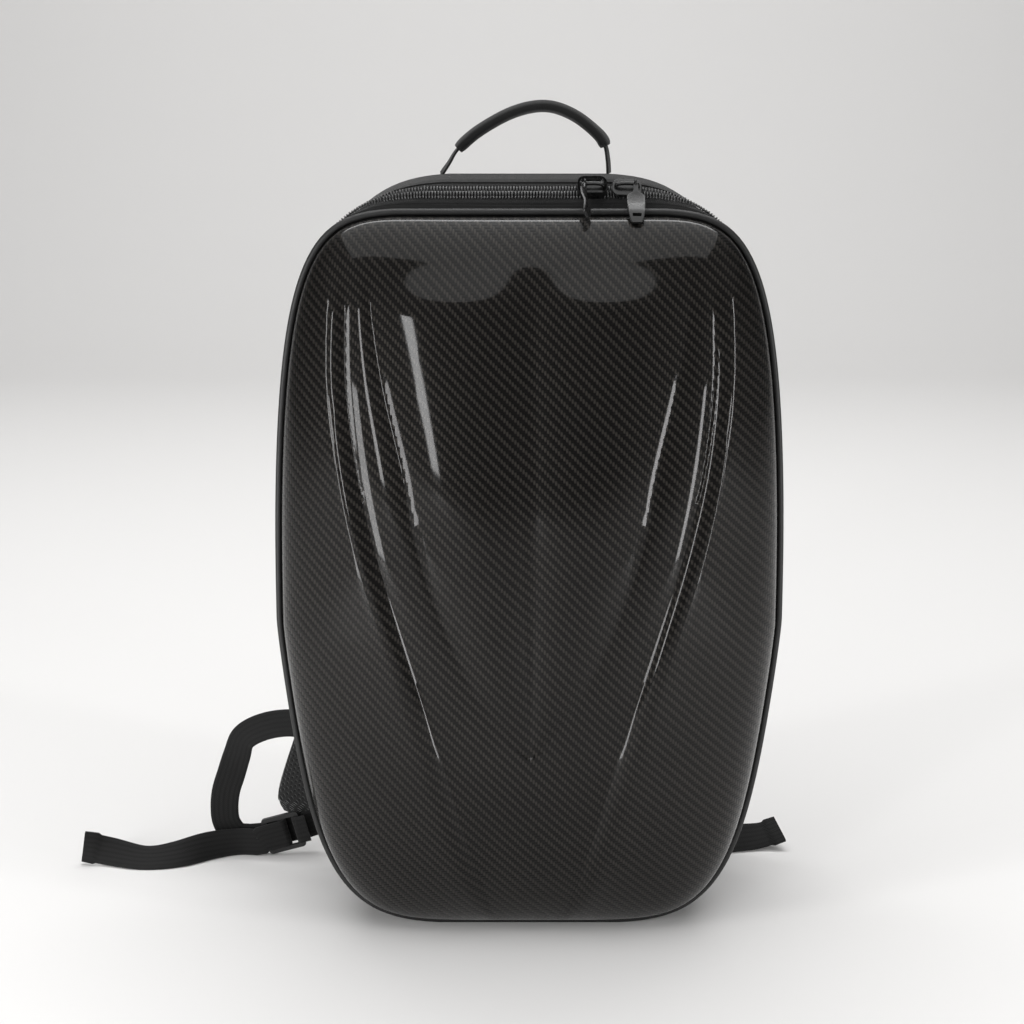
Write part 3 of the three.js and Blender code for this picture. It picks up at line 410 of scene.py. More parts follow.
@dataclass(frozen=True)
class Moulded:
    """A moulded, drawn or cast finish with fine grain."""

    name: str
    colour: float
    roughness: float
    metallic: float = 0.0
    grain: float = 900.0
    relief: float = 0.00005

    def build(self) -> bpy.types.Material:
        """Builds the finish.

        Returns:
            The material.
        """
        board = NodeBoard(self.name)
        grain = board.noise(self.grain, 3.0)
        wear = board.noise(140.0, 3.0)
        colour = board.blend(wear, grey(self.colour * 0.75), grey(self.colour * 1.35))
        rough = board.math("ADD", board.math("MULTIPLY", wear, 0.16), self.roughness - 0.08)
        return board.finish(
            Base_Color=colour,
            Roughness=rough,
            Metallic=self.metallic,
            Normal=board.bump(grain, self.relief),
        )


# Shaping by operators


def deselect() -> None:
    """Clears the selection."""
    bpy.ops.object.select_all(action="DESELECT")


def activate(piece: bpy.types.Object) -> None:
    """Makes a piece the only selected and the active one.

    Args:
        piece: The piece.
    """
    deselect()
    piece.select_set(True)
    bpy.context.view_layer.objects.active = piece


def add_grid(name: str, points: np.ndarray, is_ring: bool = False, is_tube: bool = False,
             is_capped: bool = False) -> bpy.types.Object:
    """A grid primitive whose vertices are laid on the given points, with a UV map in metres.

    Args:
        name: The new piece's name.
        points: Rows of points in millimetres, as an array of rows, columns and three.
        is_ring: Whether the last row joins the first.
        is_tube: Whether each row is closed on itself.
        is_capped: Whether the open ends of a tube are filled.

    Returns:
        The new piece.
    """
    if is_tube:
        points = np.concatenate([points, points[:, :1]], axis=1)
    if is_ring:
        points = np.concatenate([points, points[:1]], axis=0)
    rows, columns, _ = points.shape
    deselect()
    bpy.ops.mesh.primitive_grid_add(x_subdivisions=columns - 1, y_subdivisions=rows - 1, size=1.0)
    piece = bpy.context.object
    piece.name = name
    piece.data.name = name
    piece.data.vertices.foreach_set("co", (points * MM).astype(np.float32).ravel())
    step_u = np.linalg.norm(np.diff(points, axis=1), axis=2) * MM
    step_v = np.linalg.norm(np.diff(points, axis=0), axis=2) * MM
    across = np.concatenate([np.zeros((rows, 1)), np.cumsum(step_u, axis=1)], axis=1)
    along = np.concatenate([np.zeros((1, columns)), np.cumsum(step_v, axis=0)], axis=0)
    along = np.repeat(along.mean(axis=1, keepdims=True), columns, axis=1)
    uv = np.stack([across, along], axis=2).reshape(-1, 2)
    corner = np.zeros(len(piece.data.loops), dtype=np.int32)
    piece.data.loops.foreach_get("vertex_index", corner)
    piece.data.uv_layers.active.data.foreach_set("uv", uv[corner].astype(np.float32).ravel())
    bpy.ops.object.mode_set(mode="EDIT")
    bpy.ops.mesh.select_all(action="SELECT")
    if is_ring or is_tube:
        bpy.ops.mesh.remove_doubles(threshold=1e-7)
    if is_capped:
        bpy.ops.mesh.fill_holes(sides=0)
    bpy.ops.mesh.select_all(action="SELECT")
    bpy.ops.mesh.normals_make_consistent(inside=False)
    bpy.ops.object.mode_set(mode="OBJECT")
    return piece


def apply_modifier(piece: bpy.types.Object, kind: str, **settings: object) -> None:
    """Adds one modifier and applies it.

    Args:
        piece: The piece.
        kind: The modifier's type.
        settings: The modifier's settings.
    """
    activate(piece)
    modifier = piece.modifiers.new(kind.lower(), kind)
    for key, value in settings.items():
        setattr(modifier, key, value)
    bpy.ops.object.modifier_apply(modifier=modifier.name)


def smooth(piece: bpy.types.Object, degrees: float = 40.0) -> None:
    """Shades a piece smooth, apart from edges sharper than an angle.

    Args:
        piece: The piece.
        degrees: The angle.
    """
    activate(piece)
    bpy.ops.object.shade_smooth_by_angle(angle=math.radians(degrees))


def stamp(name: str, element: bpy.types.Object, frames: list[Matrix]) -> bpy.types.Object:
    """One mesh with a copy of an element at each frame. The element is used up.

    Args:
        name: The new piece's name.
        element: The element, modelled at the origin.
        frames: Where the copies go.

    Returns:
        The new piece.
    """
    count = len(element.data.vertices)
    points = np.zeros(count * 3)
    element.data.vertices.foreach_get("co", points)
    points = np.c_[points.reshape(-1, 3), np.ones(count)]
    turned = np.concatenate([points @ np.array(matrix).T[:, :3] for matrix in frames])
    faces = [tuple(face.vertices) for face in element.data.polygons]
    repeated = [tuple(v + i * count for v in face) for i in range(len(frames)) for face in faces]
    mesh = bpy.data.meshes.new(name)
    mesh.from_pydata(turned.tolist(), [], repeated)
    bpy.data.objects.remove(element)
    piece = bpy.data.objects.new(name, mesh)
    bpy.context.scene.collection.objects.link(piece)
    return piece


def frame_at(centre: np.ndarray, along: np.ndarray, out: np.ndarray) -> Matrix:
    """A frame with X along, Z out and Y across.

    Args:
        centre: Its origin, in millimetres.
        along: Its X direction.
        out: Roughly its Z direction.

    Returns:
        The matrix, in metres.
    """
    x = Vector(along).normalized()
    y = Vector(out).cross(x).normalized()
    z = x.cross(y)
    turn = Matrix((x, y, z)).transposed()
    return Matrix.Translation(Vector(centre) * MM) @ turn.to_4x4()


# Curves and tables


def read_table(rows: Rows, key: str, column: str, at: float) -> float:
    """A smooth curve through a table's column, read at a value of its key column.

    Args:
        rows: The table.
        key: The key column.
        column: The column to read.
        at: The key's value.

    Returns:
        The column's value there.
    """
    last = len(rows) - 1
    place = min(max(at, rows[0][key]), rows[last][key])
    i = 0
    while i < last - 1 and rows[i + 1][key] < place:
        i += 1

    def slope(k: int) -> float:
        """The curve's slope at a row."""
        low, high = rows[max(k - 1, 0)], rows[min(k + 1, last)]
        return (high[column] - low[column]) / (high[key] - low[key])

    width = rows[i + 1][key] - rows[i][key]
    t = (place - rows[i][key]) / width
    return ((2 * t**3 - 3 * t**2 + 1) * rows[i][column] + (t**3 - 2 * t**2 + t) * width * slope(i)
            + (3 * t**2 - 2 * t**3) * rows[i + 1][column] + (t**3 - t**2) * width * slope(i + 1))


def smooth_rows(rows: Rows, between: int) -> Rows:
    """A table with more rows put between its own on a smooth curve.

    Args:
        rows: The table.
        between: How many steps each gap gets.

    Returns:
        The finer table.
    """
    numbered = [{**row, "index": float(i)} for i, row in enumerate(rows)]
    steps = (len(rows) - 1) * between
    return [{column: read_table(numbered, "index", column, step / between) for column in rows[0]}
            for step in range(steps + 1)]


def smoothstep(value: float, low: float, high: float) -> float:
    """A soft step from 0 to 1 between two values."""
    t = min(max((value - low) / (high - low), 0.0), 1.0)
    return t * t * (3 - 2 * t)


@dataclass
class Station:
    """One cross-section of a strap. Millimetres."""

    centre: np.ndarray
    across: np.ndarray
    width: float
    thickness: float
    along: np.ndarray | None = None


def unit(vector: np.ndarray) -> np.ndarray:
    """A vector's direction."""
    return vector / np.linalg.norm(vector)


def station_axes(stations: list[Station]) -> list[tuple[np.ndarray, np.ndarray, np.ndarray]]:
    """The directions along, across and out of a strap at each of its stations.

    Args:
        stations: The strap's stations.

    Returns:
        Three directions for each station.
    """
    axes = []
    last = len(stations) - 1
    for i, station in enumerate(stations):
        run = stations[min(i + 1, last)].centre - stations[max(i - 1, 0)].centre
        along = unit(run if station.along is None else station.along)
        normal = unit(np.cross(along, station.across))
        axes.append((along, unit(np.cross(normal, along)), normal))
    return axes


def strap_points(stations: list[Station], profile: np.ndarray) -> np.ndarray:
    """Points of a strap's skin.

    Args:
        stations: The strap's stations.
        profile: Points round the section, as shares of half the width and half the thickness.

    Returns:
        Rows of points, one for each station.
    """
    rows = []
    for station, (_, across, normal) in zip(stations, station_axes(stations)):
        rows.append([station.centre + across * a * station.width / 2 + normal * n * station.thickness / 2
                     for a, n in profile])
    return np.array(rows)


def flat_profile(width: float, thickness: float, columns: int = 10) -> np.ndarray:
    """Section of a flat strap with rounded edges.

    Args:
        width: Its width.
        thickness: Its thickness.
        columns: How many steps each face has.

    Returns:
        Points as shares of the half width and the half thickness.
    """
    edge = thickness / width * 0.9
    top = [(a, 1.0) for a in np.linspace(-1 + edge, 1 - edge, columns)]
    right = [(1 - edge * 0.3, 0.7), (1.0, 0.0), (1 - edge * 0.3, -0.7)]
    return np.array(top + right + [(-a, -n) for a, n in top] + [(-a, -n) for a, n in right])


def pillow_profile(columns: int = 14, power: float = 3.4, lip: float = 0.16) -> np.ndarray:
    """Section of a padded strap: crowned faces that meet in a thin bound edge.

    Args:
        columns: How many steps each face has.
        power: How square the crown is.
        lip: The edge's half thickness, as a share of the middle's.

    Returns:
        Points as shares of the half width and the half thickness.
    """
    top = []
    for t in np.linspace(-1, 1, columns):
        a = math.sin(t * math.pi / 2)
        top.append((a, lip + (1 - lip) * (1 - abs(a) ** power) ** 0.5))
    return np.array(top + [(-a, -n) for a, n in top])


# The bag's outline


@dataclass(frozen=True)
class EndShape:
    """Outline of one end of the body, in millimetres, as shares and powers of its pinch and corners."""

    half_width: float
    height: float
    top_pinch: float
    top_pinch_power: float
    top_corner: float
    widest_height: float = 206.0
    overshoot: float = 0.6
    base_pinch: float = 0.181
    base_pinch_power: float = 1.2
    base_corner: float = 5.2

    def half_width_at(self, height: float) -> float:
        """The outline's half width at a height.

        Args:
            height: The height.

        Returns:
            The half width.
        """
        is_top = height > self.widest_height
        reach = self.height - self.widest_height if is_top else self.widest_height
        share = min(abs(height - self.widest_height) / (reach + self.overshoot), 1.0)
        pinch = self.top_pinch if is_top else self.base_pinch
        power = self.top_pinch_power if is_top else self.base_pinch_power
        corner = self.top_corner if is_top else self.base_corner
        return self.half_width * (1 - pinch * share**power) * (1 - share**corner) ** (1 / corner)


@dataclass
class BodyOutline:
    """The bag's outline at each depth behind the shell's rim, and points of its skin. Millimetres."""

    rim: EndShape = EndShape(161.3, 466.0, 0.13, 2.48, 7.7)
    back: EndShape = EndShape(160.0, 482.0, 0.2, 2.5, 5.0)
    flare_start: float = 2.0
    flare_length: float = 22.0
    side_steps: int = 110
    flat_steps: int = 12
    fine_steps: int = 960
    _loops: dict[tuple[float, float], np.ndarray] = field(default_factory=dict)

    @property
    def count(self) -> int:
        """How many points the outline has."""
        return 2 * (2 * self.flat_steps + self.side_steps)

    def shape_at(self, depth: float) -> EndShape:
        """The outline's shape at a depth behind the rim.

        Args:
            depth: The depth.

        Returns:
            The shape, part way between the rim's and the back's.
        """
        share = smoothstep(depth, self.flare_start, self.flare_start + self.flare_length)
        mixed = {f.name: getattr(self.rim, f.name) * (1 - share) + getattr(self.back, f.name) * share
                 for f in fields(EndShape)}
        return EndShape(**mixed)

    def side(self, shape: EndShape) -> np.ndarray:
        """The right side of a shape from the flat base to the flat top, in equal steps.

        Args:
            shape: The shape.

        Returns:
            Rows of half width and height.
        """
        t = np.linspace(-1, 1, self.fine_steps + 1)
        share = 1 - (1 - np.abs(t)) ** 3
        reach = np.where(t < 0, shape.widest_height, shape.height - shape.widest_height)
        heights = shape.widest_height + np.sign(t) * reach * share
        curve = np.array([(shape.half_width_at(h), h) for h in heights])
        lengths = np.r_[0, np.cumsum(np.linalg.norm(np.diff(curve, axis=0), axis=1))]
        at = np.linspace(0, lengths[-1], self.side_steps + 1)
        return np.c_[np.interp(at, lengths, curve[:, 0]), np.interp(at, lengths, curve[:, 1])]

    def loop(self, depth: float, inset: float) -> np.ndarray:
        """The closed outline at a depth, moved inwards.

        Args:
            depth: Depth behind the rim.
            inset: How far inwards.

        Returns:
            Points across and up, from the middle of the base up the right side and round.
        """
        key = (round(depth, 4), round(inset, 4))
        if key in self._loops:
            return self._loops[key]
        shape = self.shape_at(depth)
        side = self.side(shape)
        share = np.arange(self.flat_steps) / self.flat_steps
        base = np.c_[side[0, 0] * share, np.zeros(self.flat_steps)]
        top = np.c_[side[-1, 0] * share[::-1], np.full(self.flat_steps, shape.height)]
        right = np.concatenate([base, side, top])
        left = right[1:-1][::-1] * (-1, 1)
        loop = np.concatenate([right, left])
        run = np.roll(loop, -1, axis=0) - np.roll(loop, 1, axis=0)
        run /= np.linalg.norm(run, axis=1, keepdims=True)
        moved = loop + np.c_[-run[:, 1], run[:, 0]] * inset
        self._loops[key] = moved
        return moved

    def skin(self, places: np.ndarray, depth: float, inset: float) -> np.ndarray:
        """Points of the body's skin.

        Args:
            places: Places round the outline, in its points' numbers.
            depth: Depth behind the rim.
            inset: How far inwards of the outline.

        Returns:
            One point for each place.
        """
        loop = self.loop(depth, inset)
        low = np.floor(places).astype(int)
        share = (places - low)[:, None]
        flat = loop[low % len(loop)] * (1 - share) + loop[(low + 1) % len(loop)] * share
        return np.c_[flat[:, 0], np.full(len(places), depth), flat[:, 1]]

    def ring(self, profile: list[tuple[float, float]]) -> np.ndarray:
        """Points of a closed profile all round the body: rows round it, columns round the profile."""
        places = np.arange(self.count)
        return np.stack([self.skin(places, depth, inset) for depth, inset in profile], axis=1)

    def band(self, profile: list[tuple[float, float]], start: float, stop: float) -> np.ndarray:
        """Points of a closed profile along a stretch of the outline between two places."""
        places = np.r_[start, np.arange(math.floor(start) + 1, math.ceil(stop)), stop].astype(float)
        return np.stack([self.skin(places, depth, inset) for depth, inset in profile], axis=1)

    def place_at_height(self, depth: float, height: float) -> float:
        """The place on the right side that has the given height.

        Args:
            depth: Depth behind the rim.
            height: The height.

        Returns:
            The place, in the outline's points.
        """
        loop = self.loop(depth, 0.0)
        half = loop[: self.count // 2, 1]
        return float(np.interp(height, half, np.arange(len(half))))

    def place_across(self, depth: float, inset: float, across: float) -> float:
        """The place near the top that has the given distance across.

        Args:
            depth: Depth behind the rim.
            inset: How far inwards of the outline.
            across: The distance from the middle, to the right.

        Returns:
            The place, in the outline's points.
        """
        loop = self.loop(depth, inset)
        top = self.count // 2
        half = loop[top // 2: top + 1] if across > 0 else loop[top: top + top // 2]
        start = top // 2 if across > 0 else top
        order = np.argsort(half[:, 0])
        return float(np.interp(across, half[order, 0], (start + np.arange(len(half)))[order]))


# Pieces


class Wardrobe:
    """The finished materials, one for each slot."""

    def __init__(self) -> None:
        """Builds every finish once."""
        self.materials = {
            Slot.SHELL: CarbonTwill().build(),
            Slot.PIPING: Moulded("piping", 0.006, 0.5, grain=2500.0, relief=0.0001).build(),
            Slot.FABRIC: WovenCloth().build(),
            Slot.MESH: AirMesh().build(),
            Slot.WEBBING: Webbing().build(),
            Slot.COIL: Moulded("nylon_coil", 0.022, 0.3).build(),
            Slot.METAL: Moulded("black_metal", 0.012, 0.28, metallic=0.3).build(),
            Slot.PLASTIC: Moulded("moulded_plastic", 0.008, 0.42).build(),
        }

    def dress(self, piece: bpy.types.Object, slot: Slot, *nodes: str, body: str = BAG,
              angle: float = 40.0) -> bpy.types.Object:
        """Finishes a piece: its material, shading, body and what it stands for.

        Args:
            piece: The piece.
            slot: The finish it takes.
            nodes: The CAD nodes that it stands for.
            body: The body that it rides on.
            angle: Edges sharper than this many degrees stay sharp.

        Returns:
            The piece.
        """
        piece.data.materials.clear()
        piece.data.materials.append(self.materials[slot])
        smooth(piece, angle)
        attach(piece, body)
        if nodes:
            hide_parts(*nodes)
        faces = sum(len(face.vertices) - 2 for face in piece.data.polygons)
        LOG.info("%s: %d triangles, on %s", piece.name, faces, body)
        return piece

    def paint_node(self, node: str, slot: Slot) -> None:
        """Gives a CAD node that stays its finish.

        Args:
            node: The node's name.
            slot: The finish it takes.
        """
        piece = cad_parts[node]
        for place in piece.material_slots:
            place.material = self.materials[slot]
        LOG.info("%s: kept as it is, in %s", node, slot.value)


@dataclass
class MouldedShell:
    """The hard front: a crowned shell with two lobes, a crease and a rib each side. Millimetres."""

    outline: BodyOutline
    inset: float = 4.9
    wall: float = 2.0
    side_wall: float = 6.0
    shoulder_rise: float = 21.0
    shoulder_power: float = 10.0
    crown_rise: float = 34.0
    crown_power_across: float = 2.4
    crown_power_up: float = 2.6
    lobe_rise: float = 5.0
    band_rise: float = 1.6
    rib_rise: float = 5.5
    lobe_power: float = 0.8
    base_end: float = 0.0
    base_full: float = 0.03
    top_full: float = 0.87
    top_end: float = 0.935
    tip_spread: float = 0.3
    rows: int = 260
    columns: tuple[int, int, int, int] = (14, 18, 16, 28)
    shield_range: tuple[float, float] = (0.12, 0.45)
    valley_limit: float = 0.66
    crest_limit: float = 0.78
    least_lobe: float = 1.1
    least_rib: float = 1.06
    edge_crowding: float = 2.6
    relief_power: float = 8.0
    relief_rows: Rows = field(default_factory=lambda: [
        {"height": h, "shield": s, "valley": v, "crest": c} for h, s, v, c in (
            (0.0, 0.0, 0.12, 0.19), (0.056, 0.0, 0.161, 0.23), (0.172, 0.0, 0.254, 0.335),
            (0.281, 0.0, 0.338, 0.424), (0.303, 0.062, 0.36, 0.447), (0.358, 0.183, 0.405, 0.492),
            (0.451, 0.31, 0.488, 0.571), (0.558, 0.415, 0.583, 0.664), (0.67, 0.48, 0.657, 0.732),
            (0.783, 0.555, 0.695, 0.77), (0.89, 0.6, 0.695, 0.77), (1.0, 0.6, 0.695, 0.77))])

    def build(self, wardrobe: Wardrobe) -> None:
        """Builds the shell.

        Args:
            wardrobe: The finishes.
        """
        fine = BodyOutline(side_steps=self.rows)
        side = fine.loop(0.0, self.inset)[fine.flat_steps: fine.flat_steps + self.rows + 1]
        points = np.array([self._row(half, height) for half, height in side])
        shell = add_grid("shell_skin", points)
        bpy.ops.object.mode_set(mode="EDIT")
        bpy.ops.mesh.select_all(action="DESELECT")
        bpy.ops.mesh.select_non_manifold()
        bpy.ops.mesh.extrude_edges_move()
        bpy.ops.transform.resize(value=(1, 0, 1), center_override=(0, 0, 0))
        bpy.ops.mesh.select_all(action="SELECT")
        bpy.ops.mesh.normals_make_consistent(inside=False)
        bpy.ops.object.mode_set(mode="OBJECT")
        apply_modifier(shell, "SOLIDIFY", thickness=self.wall * MM, offset=-1.0)
        wardrobe.dress(shell, Slot.SHELL, "shell", angle=50.0)

    def _row(self, half: float, height: float) -> list[tuple[float, float, float]]:
        """One row of the shell's face, from left to right.

        Args:
            half: The row's half width.
            height: The row's height.

        Returns:
            The row's points.
        """
        share = height / self.outline.rim.height
        wide = self.outline.rim.half_width
        shield, valley, crest = (read_table(self.relief_rows, "height", name, share) * wide
                                 for name in ("shield", "valley", "crest"))
        least, most = self.shield_range
        lobe_edge = min(max(shield, least * half), most * half)
        rib_foot = max(min(valley, self.valley_limit * half), lobe_edge * self.least_lobe)
        rib_top = max(min(crest, self.crest_limit * half), rib_foot * self.least_rib)
        marks = (0.0, lobe_edge, rib_foot, rib_top, half)
        right = [0.0]
        for low, high, steps in zip(marks, marks[1:], self.columns):
            t = np.arange(1, steps + 1) / steps
            if high == half:
                t = 1 - (1 - t) ** self.edge_crowding
            right.extend(low + (high - low) * t)
        across = np.array([-x for x in right[:0:-1]] + right)
        return [(x, -self._depth(x, height, half, shield, valley, crest), height) for x in across]

    def _depth(self, across: float, height: float, half: float, shield: float, valley: float,
               crest: float) -> float:
        """How far the shell stands in front of its rim.

        Args:
            across: Distance from the middle, to the right.
            height: The height.
            half: The row's half width.
            shield: Where the lobe ends at this height.
            valley: Where the band ends and the rib begins.
            crest: Where the rib is highest.

        Returns:
            The distance.
        """
        rim = self.outline.rim
        is_top = height > rim.widest_height
        if is_top:
            up = (height - rim.widest_height) / (rim.height - self.inset - rim.widest_height)
        else:
            up = (rim.widest_height - height) / (rim.widest_height - self.inset)
        up = min(max(up, 0.0), 1.0)
        side = min(abs(across) / half, 1.0)
        corner = rim.top_corner if is_top else rim.base_corner
        radius = (side**corner * (1 - up**corner) + up**corner) ** (1 / corner)
        shoulder = self.shoulder_rise * math.sqrt(max(1 - radius**self.shoulder_power, 0.0))
        crown = self.crown_rise * (1 - side**self.crown_power_across) * (1 - up**self.crown_power_up)
        relief = self._relief(abs(across), height, half, max(shield, 0.0), valley, crest)
        return self.side_wall + shoulder + crown + relief * (1 - radius**self.relief_power)

    def _relief(self, across: float, height: float, half: float, shield: float, valley: float,
                crest: float) -> float:
        """The lobes', bands' and ribs' rise over the plain crown.

        Args:
            across: Distance from the middle, without its sign.
            height: The height.
            half: The row's half width.
            shield: Where the lobe ends at this height.
            valley: Where the band ends and the rib begins.
            crest: Where the rib is highest.

        Returns:
            The rise.
        """
        share = height / self.outline.rim.height
        fade = smoothstep(share, self.base_end, self.base_full)
        fade *= 1 - smoothstep(share, self.top_full, self.top_end)
        split = min(shield / (self.tip_spread * self.outline.rim.half_width), 1.0)
        if across < shield:
            return fade * self.lobe_rise * split * math.sin(math.pi * across / shield) ** self.lobe_power
        if across < valley:
            between = 1 - ((across - (shield + valley) / 2) / ((valley - shield) / 2)) ** 2
            whole = 1 - (across / valley) ** 2
            return fade * self.band_rise * (whole * (1 - split) + between * split)
        if across < crest:
            q = (across - valley) / (crest - valley)
            return fade * self.rib_rise * (2 * q - q * q)
        flank = min((across - crest) / max(half - crest, 1.0), 1.0)
        return fade * self.rib_rise * (1 - flank) ** 2


@dataclass
class FabricBody:
    """Everything between the shell and the wearer's back: piping, skirt, tape, walls and back panel."""

    outline: BodyOutline
    seam_gap: float = 0.3
    piping: float = 4.6
    piping_overlap: float = 3.0
    piping_end: float = 4.4
    skirt_end: float = 8.0
    tape_start: float = 8.3
    tape_end: float = 20.3
    tape_inset: float = 0.8
    tape_thickness: float = 1.4
    wall: float = 2.0
    body_end: float = 104.0
    zipper_end_height: float = 70.0
    panel_front: float = 102.0
    panel_edge: float = 6.0
    panel_crown: float = 8.0
    panel_thickness: float = 4.0
    swell: float = 1.3
    ripple_fade: float = 12.0
    round_steps: int = 16
    roundness: float = 0.7
    hinge_gap: float = 0.1
    channel_depth: float = 3.0
    channel_half_width: float = 9.0
    cross_depth: float = 2.2
    cross_half_width: float = 4.0
    cross_reach: float = 120.0
    cross_heights: tuple[float, float] = (150.0, 300.0)

    def build(self, wardrobe: Wardrobe) -> None:
        """Builds the body's pieces.

        Args:
            wardrobe: The finishes.
        """
        self._pipings(wardrobe)
        self._skirt(wardrobe)
        self._tape(wardrobe)
        self._gusset(wardrobe)
        self._back_panel(wardrobe)

    def _round(self, start: float, end: float, thickness: float) -> list[tuple[float, float]]:
        """A rounded profile between two depths.

        Args:
            start: The first depth.
            end: The last depth.
            thickness: How thick the profile is.

        Returns:
            Points of depth and inset.
        """
        middle, reach = (start + end) / 2, (end - start) / 2
        profile = []
        for i in range(self.round_steps):
            angle = 2 * math.pi * i / self.round_steps
            across = math.copysign(abs(math.cos(angle)) ** self.roundness, math.cos(angle))
            out = math.copysign(abs(math.sin(angle)) ** self.roundness, math.sin(angle))
            profile.append((middle + reach * across, thickness / 2 * (1 - out)))
        return profile

    def _pipings(self, wardrobe: Wardrobe) -> None:
        """The cords round the shell and round the back.

        Args:
            wardrobe: The finishes.
        """
        front = self._round(-self.piping_overlap, self.piping_end, self.piping)
        wardrobe.dress(add_grid("front_piping", self.outline.ring(front), True, True), Slot.PIPING,
                       "shell_piping")
        start = self.body_end + self.seam_gap
        rear = self._round(start, start + self.piping, self.piping)
        wardrobe.dress(add_grid("rear_piping", self.outline.ring(rear), True, True), Slot.PIPING,
                       "back_piping")

    def _wall(self, outer: list[tuple[float, float]]) -> list[tuple[float, float]]:
        """A cloth wall's closed profile from its outer face."""
        inner = [(depth, inset + self.wall) for depth, inset in reversed(outer)]
        return outer + inner

    def _skirt(self, wardrobe: Wardrobe) -> None:
        """The cloth between the piping and the zipper tape.

        Args:
            wardrobe: The finishes.
        """
        inset = self.piping + self.seam_gap
        outer = [(self.seam_gap, inset), (self.piping_end + self.seam_gap, inset)]
        for t in (0.25, 0.5, 0.75, 1.0):
            depth = self.piping_end + self.seam_gap + (self.skirt_end - self.piping_end - self.seam_gap) * t
            outer.append((depth, inset + (self.tape_inset - inset) * t**0.7))
        piece = add_grid("front_wall", self.outline.ring(self._wall(outer)), True, True)
        wardrobe.dress(piece, Slot.FABRIC, "front_skirt", angle=60.0)

    def _tape(self, wardrobe: Wardrobe) -> None:
        """The zipper tape, and the whole cloth below the zipper's ends.

        Args:
            wardrobe: The finishes.
        """
        depths = np.linspace(self.tape_start, self.tape_end, 9)
        outer = [(depth, self.tape_inset) for depth in depths]
        inner = [(depth, self.tape_inset + self.tape_thickness) for depth in depths[::-1]]
        start = self.outline.place_at_height(0.0, self.zipper_end_height)
        count = self.outline.count
        tape = add_grid("tape", self.outline.band(outer + inner, start, count - start), False, True, True)
        wardrobe.dress(tape, Slot.FABRIC, "zipper_tape", angle=60.0)
        gap = self.hinge_gap
        hinge = self.outline.band(outer + inner, count - start + gap, count + start - gap)
        wardrobe.dress(add_grid("base_hinge", hinge, False, True, True), Slot.FABRIC, "hinge_panel",
                       angle=60.0)

    def _gusset(self, wardrobe: Wardrobe) -> None:
        """The deep fabric wall, which swells a little between its seams.

        Args:
            wardrobe: The finishes.
        """
        start = self.tape_end + self.seam_gap
        outer = []
        for t in np.linspace(0, 1, 22):
            swell = self.swell * math.sin(math.pi * t) ** 0.6
            outer.append((start + (self.body_end - start) * t, -swell if 0 < t < 1 else 0.0))
        points = self.outline.ring(self._wall(outer))
        base = np.clip(points[..., 2] / self.ripple_fade, 0.0, 1.0)
        points[..., 2] = np.maximum(points[..., 2], 0.0)
        rows, columns, _ = points.shape
        turn = np.linspace(0, 2 * math.pi, rows, endpoint=False)[:, None]
        across = np.linspace(0, 2 * math.pi, columns, endpoint=False)[None, :]
        ripple = 0.5 * np.sin(9 * turn + 1.3) * np.sin(across) + 0.3 * np.sin(17 * turn + 2 * across)
        front = np.clip((points[..., 1] - start) / self.ripple_fade, 0, 1)
        rear = np.clip((self.body_end - points[..., 1]) / self.ripple_fade, 0, 1)
        points[..., 0] += np.sign(points[..., 0]) * ripple * base * (front * rear)
        piece = add_grid("side_wall", points, True, True)
        wardrobe.dress(piece, Slot.FABRIC, "rear_gusset", angle=60.0)

    def panel_depth(self, across: float, height: float) -> float:
        """Depth of the back panel's outer face at a place of it.

        Args:
            across: Distance from the middle, to the right.
            height: The height.

        Returns:
            The depth.
        """
        shape = self.outline.shape_at(self.body_end)
        inset = self.piping + self.seam_gap
        middle = shape.height / 2
        up = min(abs(height - middle) / (middle - inset), 1.0)
        side = min(abs(across) / (shape.half_width_at(height) - inset), 1.0)
        return self.panel_front + self.panel_edge + self.panel_crown * math.sqrt((1 - side**4) * (1 - up**6))

    def _back_panel(self, wardrobe: Wardrobe) -> None:
        """The padded back panel, with a sewn air channel down its middle and two across.

        Args:
            wardrobe: The finishes.
        """
        inset = self.piping + self.seam_gap
        first = self.outline.flat_steps
        side = self.outline.loop(self.body_end, inset)[first: first + self.outline.side_steps + 1]
        shares = np.sin(np.linspace(-1, 1, 61) * math.pi / 2)
        border = self.panel_front + self.panel_edge
        points = np.zeros((len(side), len(shares), 3))
        for i, (half, height) in enumerate(side):
            for j, share in enumerate(shares):
                across = share * half
                is_border = i in (0, len(side) - 1) or abs(share) > 0.999
                face = border if is_border else self.panel_depth(across, height)
                points[i, j] = (across, face - self._channels(across, height), height)
        piece = add_grid("back_pad", points)
        apply_modifier(piece, "SOLIDIFY", thickness=self.panel_thickness * MM, offset=-1.0)
        wardrobe.dress(piece, Slot.MESH, "back_panel", angle=60.0)

    def _channels(self, across: float, height: float) -> float:
        """How deep the sewn channels are at a place of the back panel.

        Args:
            across: Distance from the middle, to the right.
            height: The height.

        Returns:
            The depth.
        """
        middle = self.channel_depth * math.exp(-((across / self.channel_half_width) ** 4))
        cross = sum(self.cross_depth * math.exp(-(((height - at) / self.cross_half_width) ** 2))
                    for at in self.cross_heights)
        return max(middle, cross * (1.0 if abs(across) < self.cross_reach else 0.0))


